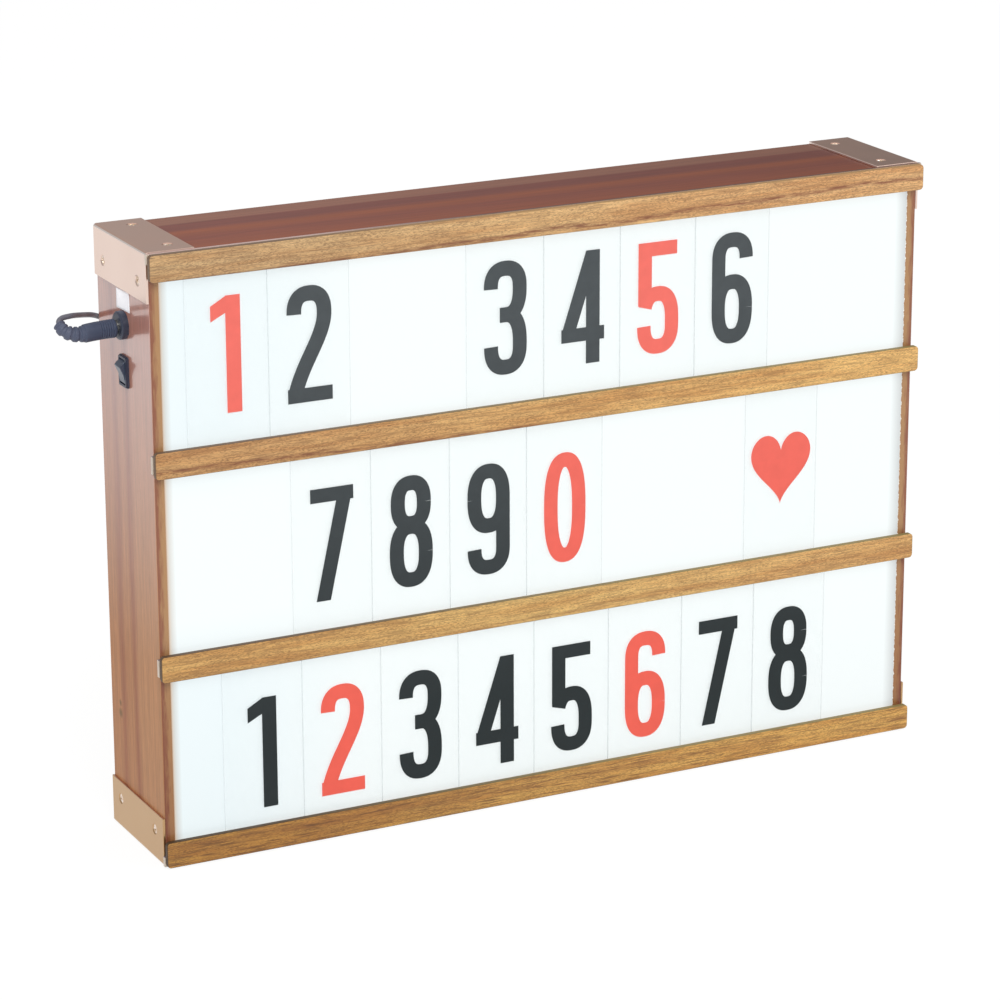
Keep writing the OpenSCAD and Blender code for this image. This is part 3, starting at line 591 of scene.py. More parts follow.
def moulded(name, colour, roughness, grit_mm, depth_mm):
    """Moulded or extruded plastic: one colour with faint clouding, and the fine grit of its mould."""
    material, tree, shader = new_material(name, {"Roughness": roughness})
    clouds = grain(tree, (9, 9, 9), 3.0, levels=(0.3, 0.7, 0.88, 1.12))
    tint = add(tree, "Mix", {0: 1.0, A: colour, B: clouds}, **TINT)
    plug(shader, {"Base Color": tint})
    relief(tree, shader, grain(tree, (grit_mm, grit_mm, grit_mm), 2.0), depth_mm * MM)
    return material


def moulded_rubber(lead):
    """Moulded rubber: matt blue-grey with fine grit, paler towards the strain relief's tip."""
    material, tree, shader = new_material("moulded_rubber", {"Roughness": 0.5})
    low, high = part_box("plug_grip")
    paler_to_tip = add(
        # The colour turns paler towards the strain relief's tip
        tree,
        "Mix",
        {
            0: along(tree, 0, high.x - 0.7 * lead.grip_length, low.x + 3 * MM),
            A: lead.rubber,
            B: lead.rubber_tip,
        },
        **MIX,
    )
    clouds = grain(tree, (9, 9, 9), 3.0, levels=(0.3, 0.7, 0.9, 1.1))
    tint = add(tree, "Mix", {0: 1.0, A: paler_to_tip, B: clouds}, **TINT)
    plug(shader, {"Base Color": tint})
    relief(tree, shader, grain(tree, (0.5, 0.5, 0.5), 2.0), 0.02 * MM)
    return material


def opal_acrylic(light):
    """Lit opal acrylic: an even cool white that fades to peach at the left and to grey at the right."""
    material, tree, shader = new_material(
        "opal_acrylic",
        {"Roughness": 0.22, "Base Color": light.panel_body, "Emission Strength": light.strength},
    )
    low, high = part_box("diffuser_panel")
    near = add(
        tree,
        "ValToRGB",
        {"Fac": along(tree, 0, low.x + 0.03, low.x + 0.1)},
        stops=[(0.0, light.glow_near), (1.0, light.glow)],
    )
    # The middle row is white all along
    middle = add(
        tree,
        "ValToRGB",
        {"Fac": along(tree, 2, low.z, high.z)},
        stops=[(0.3, NOTHING), (0.4, WHITE), (0.6, WHITE), (0.72, NOTHING)],
    )
    cool = add(tree, "Mix", {0: middle, A: near, B: light.glow}, **MIX)
    warm = add(
        tree,
        "ValToRGB",
        {"Fac": along(tree, 0, low.x, low.x + 4 * MM)},
        stops=[(0.0, light.glow_left), (0.35, linear("#E6DDD6")), (1.0, WHITE)],
    )
    left = add(tree, "Mix", {0: 1.0, A: cool, B: warm}, **TINT)
    right = add(
        tree,
        "ValToRGB",
        {"Fac": along(tree, 0, high.x, high.x - light.fall_off)},
        stops=[(0.0, light.glow_right), (0.7, WHITE)],
    )
    glow = add(tree, "Mix", {0: 1.0, A: left, B: right}, **TINT)
    glow = add(tree, "Mix", {0: 1.0, A: glow, B: along(tree, 2, low.z, low.z + 0.08, 0.95, 1.0)}, **TINT)
    plug(shader, {"Emission Color": glow})
    return material


def clear_film():
    """Clear rigid film of the tiles: nearly invisible, glossy, its cut ends showing as thin grey lines."""
    material, tree, shader = new_material("clear_film", {"Roughness": 0.06, "IOR": 1.46})
    body = add(
        tree,
        "ValToRGB",
        {"Fac": facing(tree, 0)},
        stops=[(0.0, linear("#F4FAFA")), (1.0, linear("#9FA9B0"))],
    )
    solid = add(tree, "MapRange", {0: facing(tree, 0), 3: 0.08, 4: 0.24})
    plug(shader, {"Base Color": body, "Alpha": solid})
    relief(tree, shader, grain(tree, (9, 9, 0.25), 3.0, 2.0), 0.002 * MM)
    return material


def clear_acrylic(name, lip_left, lip_right):
    """Cut acrylic strip: milky tan at its ends; its upper and lower edges painted from one colour at the left
    to another at the right, as painted shade and highlight.
    """
    material, tree, shader = new_material(name, {"Roughness": 0.3, "Specular IOR Level": 0.3})
    saw = add(
        tree,
        "ValToRGB",
        {"Fac": grain(tree, (0.5, 0.5, 6), 2.0)},
        stops=[(0.3, linear("#CDBBA6")), (0.6, linear("#E6D8C8"))],
    )
    # The upper and lower edges carry painted shade, and on the top strip a painted highlight at the left that
    # fades to painted shade at the right
    lit_and_shaded_lip = add(
        tree, "Mix", {0: along(tree, 0, -0.13, -0.04), A: linear(lip_left), B: linear(lip_right)}, **MIX
    )
    colour = add(tree, "Mix", {0: facing(tree, 2), A: saw, B: lit_and_shaded_lip}, **MIX)
    plug(shader, {"Base Color": colour})
    return material


def screen_ink(name, colour, colour_high, glow):
    """Screen ink on film: even colour, satin, lighter on the top row; red lets the panel's light through."""
    material, tree, shader = new_material(
        name, {"Roughness": 0.3, "Specular IOR Level": 0.3, "Emission Strength": glow}
    )
    # The figures are lighter on the top row
    colours = add(tree, "Mix", {0: along(tree, 2, 0.06, 0.25), A: colour, B: colour_high}, **MIX)
    plug(shader, {"Emission Color": colours})
    body = add(tree, "Mix", {0: 1.0, A: colours, B: (1 - glow, 1 - glow, 1 - glow, 1.0)}, **TINT)
    cover = grain(tree, (6, 6, 6), 4.0, levels=(0.3, 0.7, 0.94, 1.06))
    tint = add(tree, "Mix", {0: 1.0, A: body, B: cover}, **TINT)
    plug(shader, {"Base Color": tint})
    return material


def phosphor(light):
    """Light sources: yellow phosphor gel in white cups, lit."""
    material, tree, shader = new_material(
        "phosphor_gel", {"Roughness": 0.35, "Base Color": light.phosphor, "Emission Strength": 1.0}
    )
    colour = add(
        tree,
        "ValToRGB",
        {"Fac": grain(tree, (2, 2, 2), 1.0)},
        stops=[(0.3, light.phosphor), (0.8, linear("#FFFBE8"))],
    )
    plug(shader, {"Emission Color": colour})
    return material


def link(obj, body):
    """Puts a new piece into the scene, on its CAD body."""
    bpy.context.scene.collection.objects.link(obj)
    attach(obj, body)
    return obj


def surface(name, points, faces, material):
    """An object at the origin from an array of points and lists of corners, its faces pointing outwards."""
    mesh = bpy.data.meshes.new(name)
    mesh.from_pydata(np.asarray(points).reshape(-1, 3).tolist(), [], faces)
    shell = bmesh.new()
    shell.from_mesh(mesh)
    bmesh.ops.recalc_face_normals(shell, faces=shell.faces[:])
    shell.to_mesh(mesh)
    shell.free()
    mesh.materials.append(material)
    mesh.shade_smooth()
    mesh.set_sharp_from_angle(angle=SHARP)
    return bpy.data.objects.new(name, mesh)


def wall_quads(rings, sides):
    """Corners of the quads between rings that close on themselves, as one array."""
    ring, side = np.meshgrid(np.arange(rings - 1), np.arange(sides), indexing="ij")
    onward = (side + 1) % sides
    quads = [
        ring * sides + side, ring * sides + onward, (ring + 1) * sides + onward, (ring + 1) * sides + side
    ]
    return np.stack(quads, axis=-1).reshape(-1, 4)


def carried(path, radii, sides):
    """A circle carried along a path: each spoke is the last one, made square to the new direction."""
    ahead = np.gradient(path, axis=0)
    ahead /= np.linalg.norm(ahead, axis=1, keepdims=True)
    start = np.eye(3)[np.argmin(np.abs(ahead[0]))]
    spokes = [start - start.dot(ahead[0]) * ahead[0]]
    for direction in ahead[1:]:
        spokes.append(spokes[-1] - spokes[-1].dot(direction) * direction)
        spokes[-1] = spokes[-1] / np.linalg.norm(spokes[-1])
    spokes = np.array(spokes)
    spokes /= np.linalg.norm(spokes, axis=1, keepdims=True)
    across = np.cross(ahead, spokes)
    angle = np.linspace(0, 2 * math.pi, sides, endpoint=False)[None, :, None]
    rim = np.cos(angle) * spokes[:, None] + np.sin(angle) * across[:, None]
    points = path[:, None] + np.asarray(radii).reshape(-1, 1, 1) * rim
    last = (len(path) - 1) * sides
    faces = wall_quads(len(path), sides).tolist() + [list(range(sides)), list(range(last, last + sides))]
    return points, faces


def through(points, steps):
    """A smooth curve through the points: on each stretch a cubic whose slopes are half the chords."""
    p = np.vstack([points[0], points, points[-1]])
    u = np.linspace(0, 1, steps, endpoint=False)[None, :, None]
    a, b, c, d = (p[i : len(p) - 3 + i][:, None] for i in range(4))
    curve = 0.5 * (2 * b + (c - a) * u + (2 * a - 5 * b + 4 * c - d) * u**2 + (3 * b - a - 3 * c + d) * u**3)
    return np.vstack([curve.reshape(-1, 3), points[-1]])


def eased(node, ease, material, body="case", least=0.0):
    """A copy of a CAD node, flat faces joined, sharp edges between faces of least area or more rounded."""
    shell = bmesh.new()
    shell.from_mesh(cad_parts[node].data)
    bmesh.ops.remove_doubles(shell, verts=shell.verts[:], dist=WELD)
    bmesh.ops.dissolve_limit(shell, angle_limit=COPLANAR, verts=shell.verts[:], edges=shell.edges[:])
    weight = shell.edges.layers.float.new("bevel_weight_edge")
    area = {face: face.calc_area() for face in shell.faces}
    for face in shell.faces:
        face.smooth = area[face] < FLAT
    for edge in shell.edges:
        sharp = len(edge.link_faces) == 2 and edge.calc_face_angle() > SHARP
        edge.smooth = not sharp
        if sharp and min(area[face] for face in edge.link_faces) >= least:
            edge[weight] = 1.0
    mesh = bpy.data.meshes.new(node + "_eased")
    shell.to_mesh(mesh)
    shell.free()
    mesh.materials.clear()
    mesh.materials.append(material)
    obj = link(bpy.data.objects.new(node + "_eased", mesh), body)
    bevel = obj.modifiers.new("Eased edges", "BEVEL")
    bevel.limit_method = "WEIGHT"
    bevel.width = ease
    bevel.segments = 2
    bevel.use_clamp_overlap = False
    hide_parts(node)
    return obj


def dress(material, *nodes):
    """Gives CAD nodes a material."""
    for node in nodes:
        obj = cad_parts[node]
        if not obj.material_slots:
            raise RuntimeError(f"{node} has no material slot")
        for socket in obj.material_slots:
            socket.material = material


def lead_materials(context):
    """The rubber and the nickel plate that both ends of the lead share, made the first time."""
    metal, lead = context.scene.light_box_metal, context.scene.light_box_lead
    rubber = bpy.data.materials.get("moulded_rubber") or moulded_rubber(lead)
    nickel = bpy.data.materials.get("nickel_plate") or plated(
        "nickel_plate", metal.nickel, linear("#B9B7B0"), 0.22, 4
    )
    return rubber, nickel


# Route of the lead in mm: inside the strain relief, round the corner, down behind the case, to the coil
BOOT_ROUTE = [(-231.0, 2.5, 260.6), (-233.9, 2.9, 260.8), (-236.2, 4.5, 261.6), (-237.1, 7.2, 262.9)]
LEAD_ROUTE = [
    (-237.1, 7.2, 262.9), (-236.2, 9.9, 264.2), (-233.9, 11.5, 265.0), (-230.5, 12.6, 265.1),
    (-227.4, 15.2, 264.5), (-222.5, 21.0, 262.8), (-216.5, 28.8, 260.4), (-210.0, 35.4, 258.0),
    (-203.5, 41.0, 254.6), (-196.5, 45.2, 249.0), (-190.0, 47.6, 240.0), (-185.0, 48.6, 227.0),
    (-181.5, 48.6, 208.0), (-179.0, 48.4, 184.0), (-177.5, 48.2, 156.0), (-176.5, 48.1, 126.0),
    (-176.0, 48.1, 96.0), (-175.6, 48.1, 66.0), (-175.0, 48.1, 42.0), (-173.6, 48.1, 26.0),
    (-170.6, 48.1, 15.0), (-165.4, 48.1, 7.0), (-158.0, 48.1, 2.6), (-149.0, 48.1, 1.5),
    (-136.0, 48.1, 1.6),
]
LEAD_TAIL = [(-112.0, 48.1, 4.8), (-103.0, 48.1, 4.3), (-94.0, 48.1, 4.0)]
COIL_CENTRE = (-120.0, 66.0)
COIL_LAYERS = (2.25, 4.85)  # heights of its lower and upper layer
CURVE_STEPS = 4  # points on each stretch of the route
TURN_STEPS = 18  # points on each turn of the coil
LEAD_SIDES = 16
GRIP_SIDES = 48
GLUE_SIDES = 8


def coil_turns(lead):
    """The coil in mm: its turns go inwards on the lower layer, climb, and go outwards on the upper one."""
    per_layer = lead.turns_across
    done = np.linspace(0, 2 * per_layer, 2 * per_layer * TURN_STEPS + 1)
    outer = lead.coil_radius / MM + lead.coil_pitch / MM
    inward = outer - np.minimum(done, per_layer - 1) * lead.coil_pitch / MM
    outward = outer - np.minimum(2 * per_layer - done, per_layer - 1) * lead.coil_pitch / MM
    radius = np.where(done < per_layer, inward, outward)
    climb = np.clip((done - per_layer) * 2 + 0.5, 0, 1)
    height = COIL_LAYERS[0] + (COIL_LAYERS[1] - COIL_LAYERS[0]) * climb * climb * (3 - 2 * climb)
    angle = 2 * math.pi * done - math.pi / 2
    x = COIL_CENTRE[0] + radius * np.cos(angle)
    y = COIL_CENTRE[1] + radius * np.sin(angle)
    return np.stack([x, y, height], axis=1)


class LIGHTBOX_OT_camera(bpy.types.Operator):
    """Puts the camera at the photograph's viewing angle"""

    bl_idname = "lightbox.camera"
    bl_label = "Camera"

    def execute(self, context):
        stage = context.scene.light_box_stage
        ahead, level = math.cos(stage.azimuth), math.cos(stage.elevation)
        back = Vector((math.sin(stage.azimuth) * level, -ahead * level, math.sin(stage.elevation)))
        right = Vector((0, 0, 1)).cross(back).normalized()
        up = back.cross(right)
        turn = Matrix.Rotation(stage.roll, 3, back)
        axes = Matrix((turn @ right, turn @ up, back)).transposed()
        camera = bpy.data.objects.new("camera", bpy.data.cameras.new("camera"))
        camera.data.lens = stage.focal
        camera.data.sensor_width = 36
        camera.data.clip_end = 50
        camera.matrix_world = Matrix.Translation(stage.place) @ axes.to_4x4()
        context.scene.collection.objects.link(camera)
        context.scene.camera = camera
        return {"FINISHED"}


class LIGHTBOX_OT_lead(bpy.types.Operator):
    """Makes the lead: out of the plug, down behind the case, into a coil of six turns, to the far plug"""

    bl_idname = "lightbox.lead"
    bl_label = "Lead"

    def execute(self, context):
        lead = context.scene.light_box_lead
        turns = coil_turns(lead)
        run = through(np.vstack([LEAD_ROUTE, turns[:1]]), CURVE_STEPS)
        tail = through(np.vstack([turns[-1:], LEAD_TAIL]), CURVE_STEPS)
        path = np.vstack([run[:-1], turns, tail[1:]]) * MM
        jacket = moulded("extruded_jacket", lead.jacket, 0.42, 0.8, 0.01)
        points, faces = carried(path, np.full(len(path), lead.diameter / 2), LEAD_SIDES)
        cord = link(surface("lead", points, faces, jacket), "power_lead")
        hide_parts("lead_cord", "lead_coil", "lead_tail")
        return {"FINISHED"}


class LIGHTBOX_OT_far_plug(bpy.types.Operator):
    """Dresses the far connector and the tie round the coil"""

    bl_idname = "lightbox.far_plug"
    bl_label = "Far plug and tie"

    def execute(self, context):
        rubber, nickel = lead_materials(context)
        tie = moulded("nylon_tie", linear("#2F3238"), 0.45, 0.6, 0.02)
        eased("usb_grip", 1.2 * MM, rubber, "power_lead")
        eased("coil_tie", 0.15 * MM, tie, "power_lead")
        dress(nickel, "usb_shell")
        return {"FINISHED"}


class LIGHTBOX_OT_plug(bpy.types.Operator):
    """Makes the plug's grip: fine rings near the socket, then a ribbed relief that bends with the lead"""

    bl_idname = "lightbox.plug"
    bl_label = "Plug"

    def execute(self, context):
        lead = context.scene.light_box_lead
        rubber, nickel = lead_materials(context)
        grip_l = lead.grip_length
        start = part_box("plug_grip")[1].x
        middle = Vector(BOOT_ROUTE[0]) * MM
        # The grip hangs a little, by the square of the distance from the socket. The relief takes that back
        u = np.linspace(0, 1, 9)
        hang = lead.droop * (0.55 + 0.45 * u * u)
        grip = np.stack([start - u * grip_l, np.full_like(u, middle.y), middle.z - hang], axis=1)
        bend = np.array(BOOT_ROUTE) * MM
        bend[:, 2] -= lead.droop * np.array([0.9, 0.6, 0.3, 0.0])
        path = through(np.vstack([grip, bend]), 40)
        at = np.concatenate([[0], np.cumsum(np.linalg.norm(np.diff(path, axis=0), axis=1))])
        boot_l = at[-1] - grip_l
        past = np.clip(at - grip_l, 0, boot_l) / boot_l
        # The grip: its nose is a quarter round, its rings the square of a cosine that fades out along it
        end_round, ring_step = 0.9 * MM, 1.15 * MM
        nose = np.sqrt(np.clip(1 - (1 - np.clip(at / end_round, 0, 1)) ** 2, 0, 1)) - 1
        fade = np.clip((0.55 * grip_l - at) / ring_step, 0, 1) * np.clip((at - end_round) / ring_step, 0, 1)
        rings = -lead.ring_depth * fade * (0.5 - 0.5 * np.cos(2 * math.pi * at / ring_step)) ** 2
        body = lead.grip_radius * (1 - 0.04 * at / grip_l) + end_round * nose + rings
        # The strain relief grows out of the grip: a cone with rounded ribs, a raised and flattened sine
        cone = lead.boot_radius + (lead.boot_tip - lead.boot_radius) * past
        wave = np.sin(2 * math.pi * (past * lead.ribs + 0.1))
        boot = cone - lead.rib_depth * (0.5 - 0.5 * np.tanh(2.2 * (wave + 0.35)))
        step = np.clip((at - grip_l + end_round) / end_round, 0, 1)
        radii = body + (boot - body) * step * step * (3 - 2 * step)
        # Its tip is rounded off
        radii[-1] = lead.boot_tip * 0.82
        points, faces = carried(path, radii, GRIP_SIDES)
        grip_piece = link(surface("plug_grip_ribbed", points, faces, rubber), "power_lead")
        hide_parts("plug_grip")
        dress(nickel, "plug_barrel", "dc_socket_nut")
        return {"FINISHED"}


class LIGHTBOX_OT_wood(bpy.types.Operator):
    """Dresses the boards, rails, spacers, ledges, battens and back panel"""

    bl_idname = "lightbox.wood"
    bl_label = "Wood"

    def execute(self, context):
        wood = context.scene.light_box_wood
        level = lacquered_level_board(wood)
        for node in ("top_board", "bottom_board"):
            eased(node, wood.board_ease, level, least=BOARD_FACE)
        for node in ("left_side_board", "right_side_board"):
            eased(node, wood.board_ease, lacquered_side_board(wood, node), least=BOARD_FACE)
        for node in RAILS:
            eased(node, wood.rail_ease, open_pored_veneer(wood, node))
        # The spacers' upper and lower edges get painted shade; the top one also a painted highlight at its
        # left
        dress(
            clear_acrylic("clear_acrylic", "#8A7F8B", "#8A7F8B"),
            "bottom_spacer",
            "lower_spacer",
            "upper_spacer",
        )
        dress(clear_acrylic("shaded_acrylic", "#CFAFA8", "#6A4438"), "top_spacer")
        dress(planed_pine(wood), "side_ledges", "cross_ledges", "side_battens", "cross_battens")
        dress(pressed_hardboard(wood), "back_panel")
        return {"FINISHED"}


def screw_head(metal, centre, outward, turn):
    """A raised countersunk head: a parabola over its radius, less a cross recess, and a cone under it."""
    radius, sink = metal.head_radius, metal.head_sink
    crown = 0.03 * MM  # how far the middle stays under the plate
    arm, reach, soft = 0.36 * MM, 1.45 * MM, 0.12 * MM  # the recess: half its width, its reach and its rim
    deep, rise = 0.75 * MM, 0.3  # its depth in the middle, and its floor's slope outwards
    cone_share, cone_depth = (0.99, 0.6), (0.05, 0.9)  # the cone: shares of the radius, mm under the rim
    out = np.linspace(0.02, 1, 22)[:, None] * radius
    angle = np.linspace(0, 2 * math.pi, HEAD_SIDES, endpoint=False)[None, :]
    a, b = np.abs(out * np.cos(angle)), np.abs(out * np.sin(angle))
    narrow, wide = np.minimum(a, b), np.maximum(a, b)
    cross = np.clip((arm - narrow) / soft + 0.5, 0, 1) * np.clip((reach - wide) / soft + 0.5, 0, 1)
    up = -sink + (sink - crown) * (1 - (out / radius) ** 2) - cross * (deep - rise * out)
    cone_out = np.array(cone_share)[:, None] * radius + 0 * angle
    cone_up = -sink - np.array(cone_depth)[:, None] * MM + 0 * angle
    out, up = np.vstack([out + 0 * angle, cone_out]), np.vstack([up, cone_up])
    n = Vector(outward)
    e = n.orthogonal().normalized()
    f = n.cross(e)
    across = (out * np.cos(angle + turn))[..., None] * np.array(e)
    aside = (out * np.sin(angle + turn))[..., None] * np.array(f)
    return np.array(centre) + across + aside + up[..., None] * np.array(n)


class LIGHTBOX_OT_metal(bpy.types.Operator):
    """Dresses the corner brackets and all screws"""

    bl_idname = "lightbox.metal"
    bl_label = "Brackets and screws"

    def execute(self, context):
        metal = context.scene.light_box_metal
        copper = rose_copper(metal)
        screw = plated("copper_screw_plate", metal.screw, metal.copper_low, 0.25, 2)
        zinc = plated("zinc_plate", metal.zinc, linear("#9A9E9F"), 0.35, 2)
        heads, faces = [], []
        # Each bracket has two heads on its upright leg and two on its level one
        for level, side in ((1, 0), (1, 1), (0, 0), (0, 1)):
            node = ("bottom", "top")[level] + ("_left", "_right")[side] + "_bracket"
            eased(node, metal.plate_ease, copper, least=PLATE_FACE)
            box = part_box(node)
            x, z = box[side].x, box[level].z
            out_x, out_z = 2 * side - 1, 2 * level - 1
            for step in (-0.5, 0.5):
                y = (box[0].y + box[1].y) / 2 + step * metal.screw_pitch
                upright_leg = (x, y, z - out_z * metal.screw_in), (out_x, 0, 0)
                level_leg = (x - out_x * metal.screw_in, y, z), (0, 0, out_z)
                for centre, outward in (upright_leg, level_leg):
                    head = screw_head(metal, centre, outward, turn=0.7 * len(heads))
                    rings, sides = head.shape[:2]
                    first = len(heads) * rings * sides
                    last = first + (rings - 1) * sides
                    faces += (wall_quads(rings, sides) + first).tolist()
                    faces += [list(range(first, first + sides)), list(range(last, last + sides))]
                    heads.append(head)
        piece = link(surface("bracket_screw_heads", np.stack(heads), faces, screw), "case")
        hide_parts("bracket_screws")
        dress(zinc, "back_panel_screws")
        return {"FINISHED"}


class LIGHTBOX_OT_panel(bpy.types.Operator):
    """Dresses the lit panel, the light strips and the white glue line beside the right board"""

    bl_idname = "lightbox.panel"
    bl_label = "Lit panel"

    def execute(self, context):
        light = context.scene.light_box_light
        dress(opal_acrylic(light), "diffuser_panel")
        dress(phosphor(light), "led_chips")
        white = moulded("strip_solder_mask", linear("#EEF0EC"), 0.4, 1.5, 0.01)
        dress(white, "led_strips")
        glue = moulded("dried_glue", linear("#F3EFE6"), 0.35, 0.8, 0.02)
        low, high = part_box("diffuser_panel")
        # A bead beside the seam whose thickness swells and shrinks along it, by a sum of three sines
        end_gap, ring_step, aside, inside = 6 * MM, 0.4 * MM, 0.15 * MM, 0.2 * MM
        up = np.arange(low.z + end_gap, high.z - end_gap, ring_step)
        swell = np.sin(up * 900) + np.sin(up * 2310 + 1) + np.sin(up * 4170 + 2)
        radii = (0.1 + 0.32 * np.clip(swell / 3 + 0.25, 0, 1) ** 1.5) * MM
        sway = 0.12 * MM * np.sin(up * 1500)
        path = np.stack([high.x + aside + sway, np.full_like(up, low.y + inside), up], axis=1)
        points, faces = carried(path, radii, GLUE_SIDES)
        link(surface("glue_line", points, faces, glue), "case")
        return {"FINISHED"}


def arc(centre, size, start, end, steps=20):
    """Points of a squarish oval, its cosine and sine raised to 2 / 2.5, between two angles in degrees."""
    angle = np.radians(np.linspace(start, end, steps + 1))
    c, s = np.cos(angle), np.sin(angle)
    bend = 2 / 2.5
    x = centre[0] + size[0] * np.sign(c) * np.abs(c) ** bend
    z = centre[1] + size[1] * np.sign(s) * np.abs(s) ** bend
    return np.stack([x, z], axis=1)


def ribbon(path, width):
    """Quads of a stroke: each point of the path is moved half the width to either side of it."""
    ahead = np.gradient(path, axis=0)
    ahead /= np.linalg.norm(ahead, axis=1, keepdims=True)
    aside = np.stack([-ahead[:, 1], ahead[:, 0]], axis=1) * width / 2
    left, right = path + aside, path - aside
    return list(np.stack([right[:-1], right[1:], left[1:], left[:-1]], axis=1))


def bar(x0, x1, z0, z1):
    """An upright rectangle as one polygon."""
    return np.array([(x0, z0), (x1, z0), (x1, z1), (x0, z1)])


def figure(digit, letters):
    """Polygons of a figure from 0 to 9 in mm, which may overlap: its middle is x = 0, its foot z = 0."""
    h, w, t = letters.height / MM, letters.width / MM, letters.stroke / MM
    a = (w - t) / 2
    low, top, half = t / 2, h - t / 2, h / 2
    high_bowl, low_bowl, waist = h - 13.5, 14.5, 29.8
    over = arc((0, high_bowl), (a, top - high_bowl), 180, 0)
    under = arc((0, low_bowl), (a, low_bowl - low), 0, -180)
    if digit == 0:
        return ribbon(arc((0, half), (a, half - low), 0, 360, 64), t)
    if digit == 1:
        flag = np.array([(-8, h - 12), (0, h - 8), (0, h), (-8, h - 4.5)])
        return [bar(-0.5, t - 0.5, 0, h), flag]
    if digit == 2:
        u = np.linspace(0, 1, 25)[:, None]
        # The neck is a cubic curve between the bowl and the foot
        corners = [np.array(p) for p in ((a, high_bowl), (a, 31), (-a + 4, 20), (-a, low))]
        weights = ((1 - u) ** 3, 3 * u * (1 - u) ** 2, 3 * u**2 * (1 - u), u**3)
        neck = sum(weight * corner for weight, corner in zip(weights, corners))
        return ribbon(np.vstack([over, neck[1:]]), t) + [bar(-w / 2, w / 2, 0, t - 0.5)]
    if digit == 3:
        upper = np.vstack([over, arc((0, high_bowl), (a, high_bowl - waist), 0, -90)[1:], [(-3, waist)]])
        lower = np.vstack([[(-3, waist)], arc((0, 15.5), (a, waist - 15.5), 90, 0), under])
        return ribbon(upper, t) + ribbon(lower, t)
    if digit == 4:
        slope = np.array([(-w / 2, 16), (-w / 2 + t, 16), (w / 2 - 2, h), (w / 2 - 2 - t, h)])
        return [bar(w / 2 - 2 - t, w / 2 - 2, 0, h), bar(-w / 2, w / 2 + 0.5, 11.5, 18.3), slope]
    if digit == 5:
        bowl = np.vstack([arc((0, 17), (a, 13.4), 155, 0), under])
        stem, roof = bar(-w / 2 + 0.5, -w / 2 + 0.5 + t, 25, h), bar(-w / 2 + 0.5, w / 2 - 1, h - t + 0.5, h)
        return [stem, roof] + ribbon(bowl, t)
    if digit == 6:
        stem = np.vstack([[(-a, 17)], over])
        return ribbon(stem, t) + ribbon(arc((0, 17.6), (a, 17.6 - low), 0, 360, 56), t)
    if digit == 7:
        slope = np.array([(-8.6, 0), (-8.6 + t, 0), (w / 2, h), (w / 2 - t, h)])
        return [bar(-w / 2 + 0.5, w / 2, h - t + 0.5, h), slope]
    if digit == 8:
        upper = arc((0, 42.5), (a - 0.8, top - 42.5), 0, 360, 48)
        lower = arc((0, 17.2), (a, 17.2 - low), 0, 360, 56)
        return ribbon(upper, t) + ribbon(lower, t)
    return [np.array([0, h]) - polygon for polygon in figure(6, letters)]


def heart(letters):
    """The outline of a heart in mm: x goes by the cube of a sine, z by a sum of four cosines."""
    t = np.linspace(0, 2 * math.pi, 96, endpoint=False)
    x = 16 * np.sin(t) ** 3
    z = 13 * np.cos(t) - 5 * np.cos(2 * t) - 2 * np.cos(3 * t) - np.cos(4 * t)
    size = letters.heart / MM / 32
    tall, lift = 1.18, 5.8
    return [np.stack([x * size, z * size * tall + letters.height / MM / 2 + lift], axis=1)[::-1]]


def printed(name, polygons, tile, letters, material):
    """Overlapping polygons joined into one flat film on the front of a tile."""
    corners, faces = [], []
    for polygon in polygons:
        x, z = polygon[:, 0], polygon[:, 1]
        turn = np.dot(x, np.roll(z, -1)) - np.dot(z, np.roll(x, -1))
        faces.append(list(range(len(corners), len(corners) + len(polygon))))
        corners += [Vector(p) for p in (polygon if turn > 0 else polygon[::-1]).tolist()]
    points, _, faces, _, _, covered = delaunay_2d_cdt(corners, [], faces, 1, 1e-4)
    faces = [face for face, polygon in zip(faces, covered) if polygon]
    low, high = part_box(tile)
    foot = (low.z + high.z - letters.height) / 2 - letters.drop
    flat = np.array([tuple(p) for p in points]) * MM
    x, z = flat[:, 0] + (low.x + high.x) / 2, flat[:, 1] + foot
    place = np.stack([x, np.full(len(flat), low.y - letters.film - FILM_GAP), z], 1)
    mesh = bpy.data.meshes.new(name)
    mesh.from_pydata(place.tolist(), [], [list(face) for face in faces])
    mesh.materials.append(material)
    obj = link(bpy.data.objects.new(name, mesh), tile)
    film = obj.modifiers.new("Film", "SOLIDIFY")
    film.thickness = letters.film
    return obj


# What stands on each row's tiles, from the left: a figure or the heart, and whether it is red
ROWS = {
    "top": [(1, True), (2, False), (3, False), (4, False), (5, True), (6, False)],
    "mid": [(7, False), (8, False), (9, False), (0, True), ("heart", True)],
    "low": [(1, False), (2, True), (3, False), (4, False), (5, False), (6, True), (7, False), (8, False)],
}


class LIGHTBOX_OT_tiles(bpy.types.Operator):
    """Dresses the clear tiles and prints a figure or a heart on each"""

    bl_idname = "lightbox.tiles"
    bl_label = "Tiles"

    def execute(self, context):
        letters = context.scene.light_box_letters
        black = screen_ink("black_ink", letters.black, letters.black_high, 0.0)
        red = screen_ink("red_ink", letters.red, letters.red_high, letters.red_glow)
        film = clear_film()
        for row, signs in ROWS.items():
            for number, (sign, is_red) in enumerate(signs, 1):
                tile = f"tile_{row}_{number}"
                dress(film, tile)
                polygons = heart(letters) if sign == "heart" else figure(sign, letters)
                printed(f"print_{row}_{number}", polygons, tile, letters, red if is_red else black)
        return {"FINISHED"}


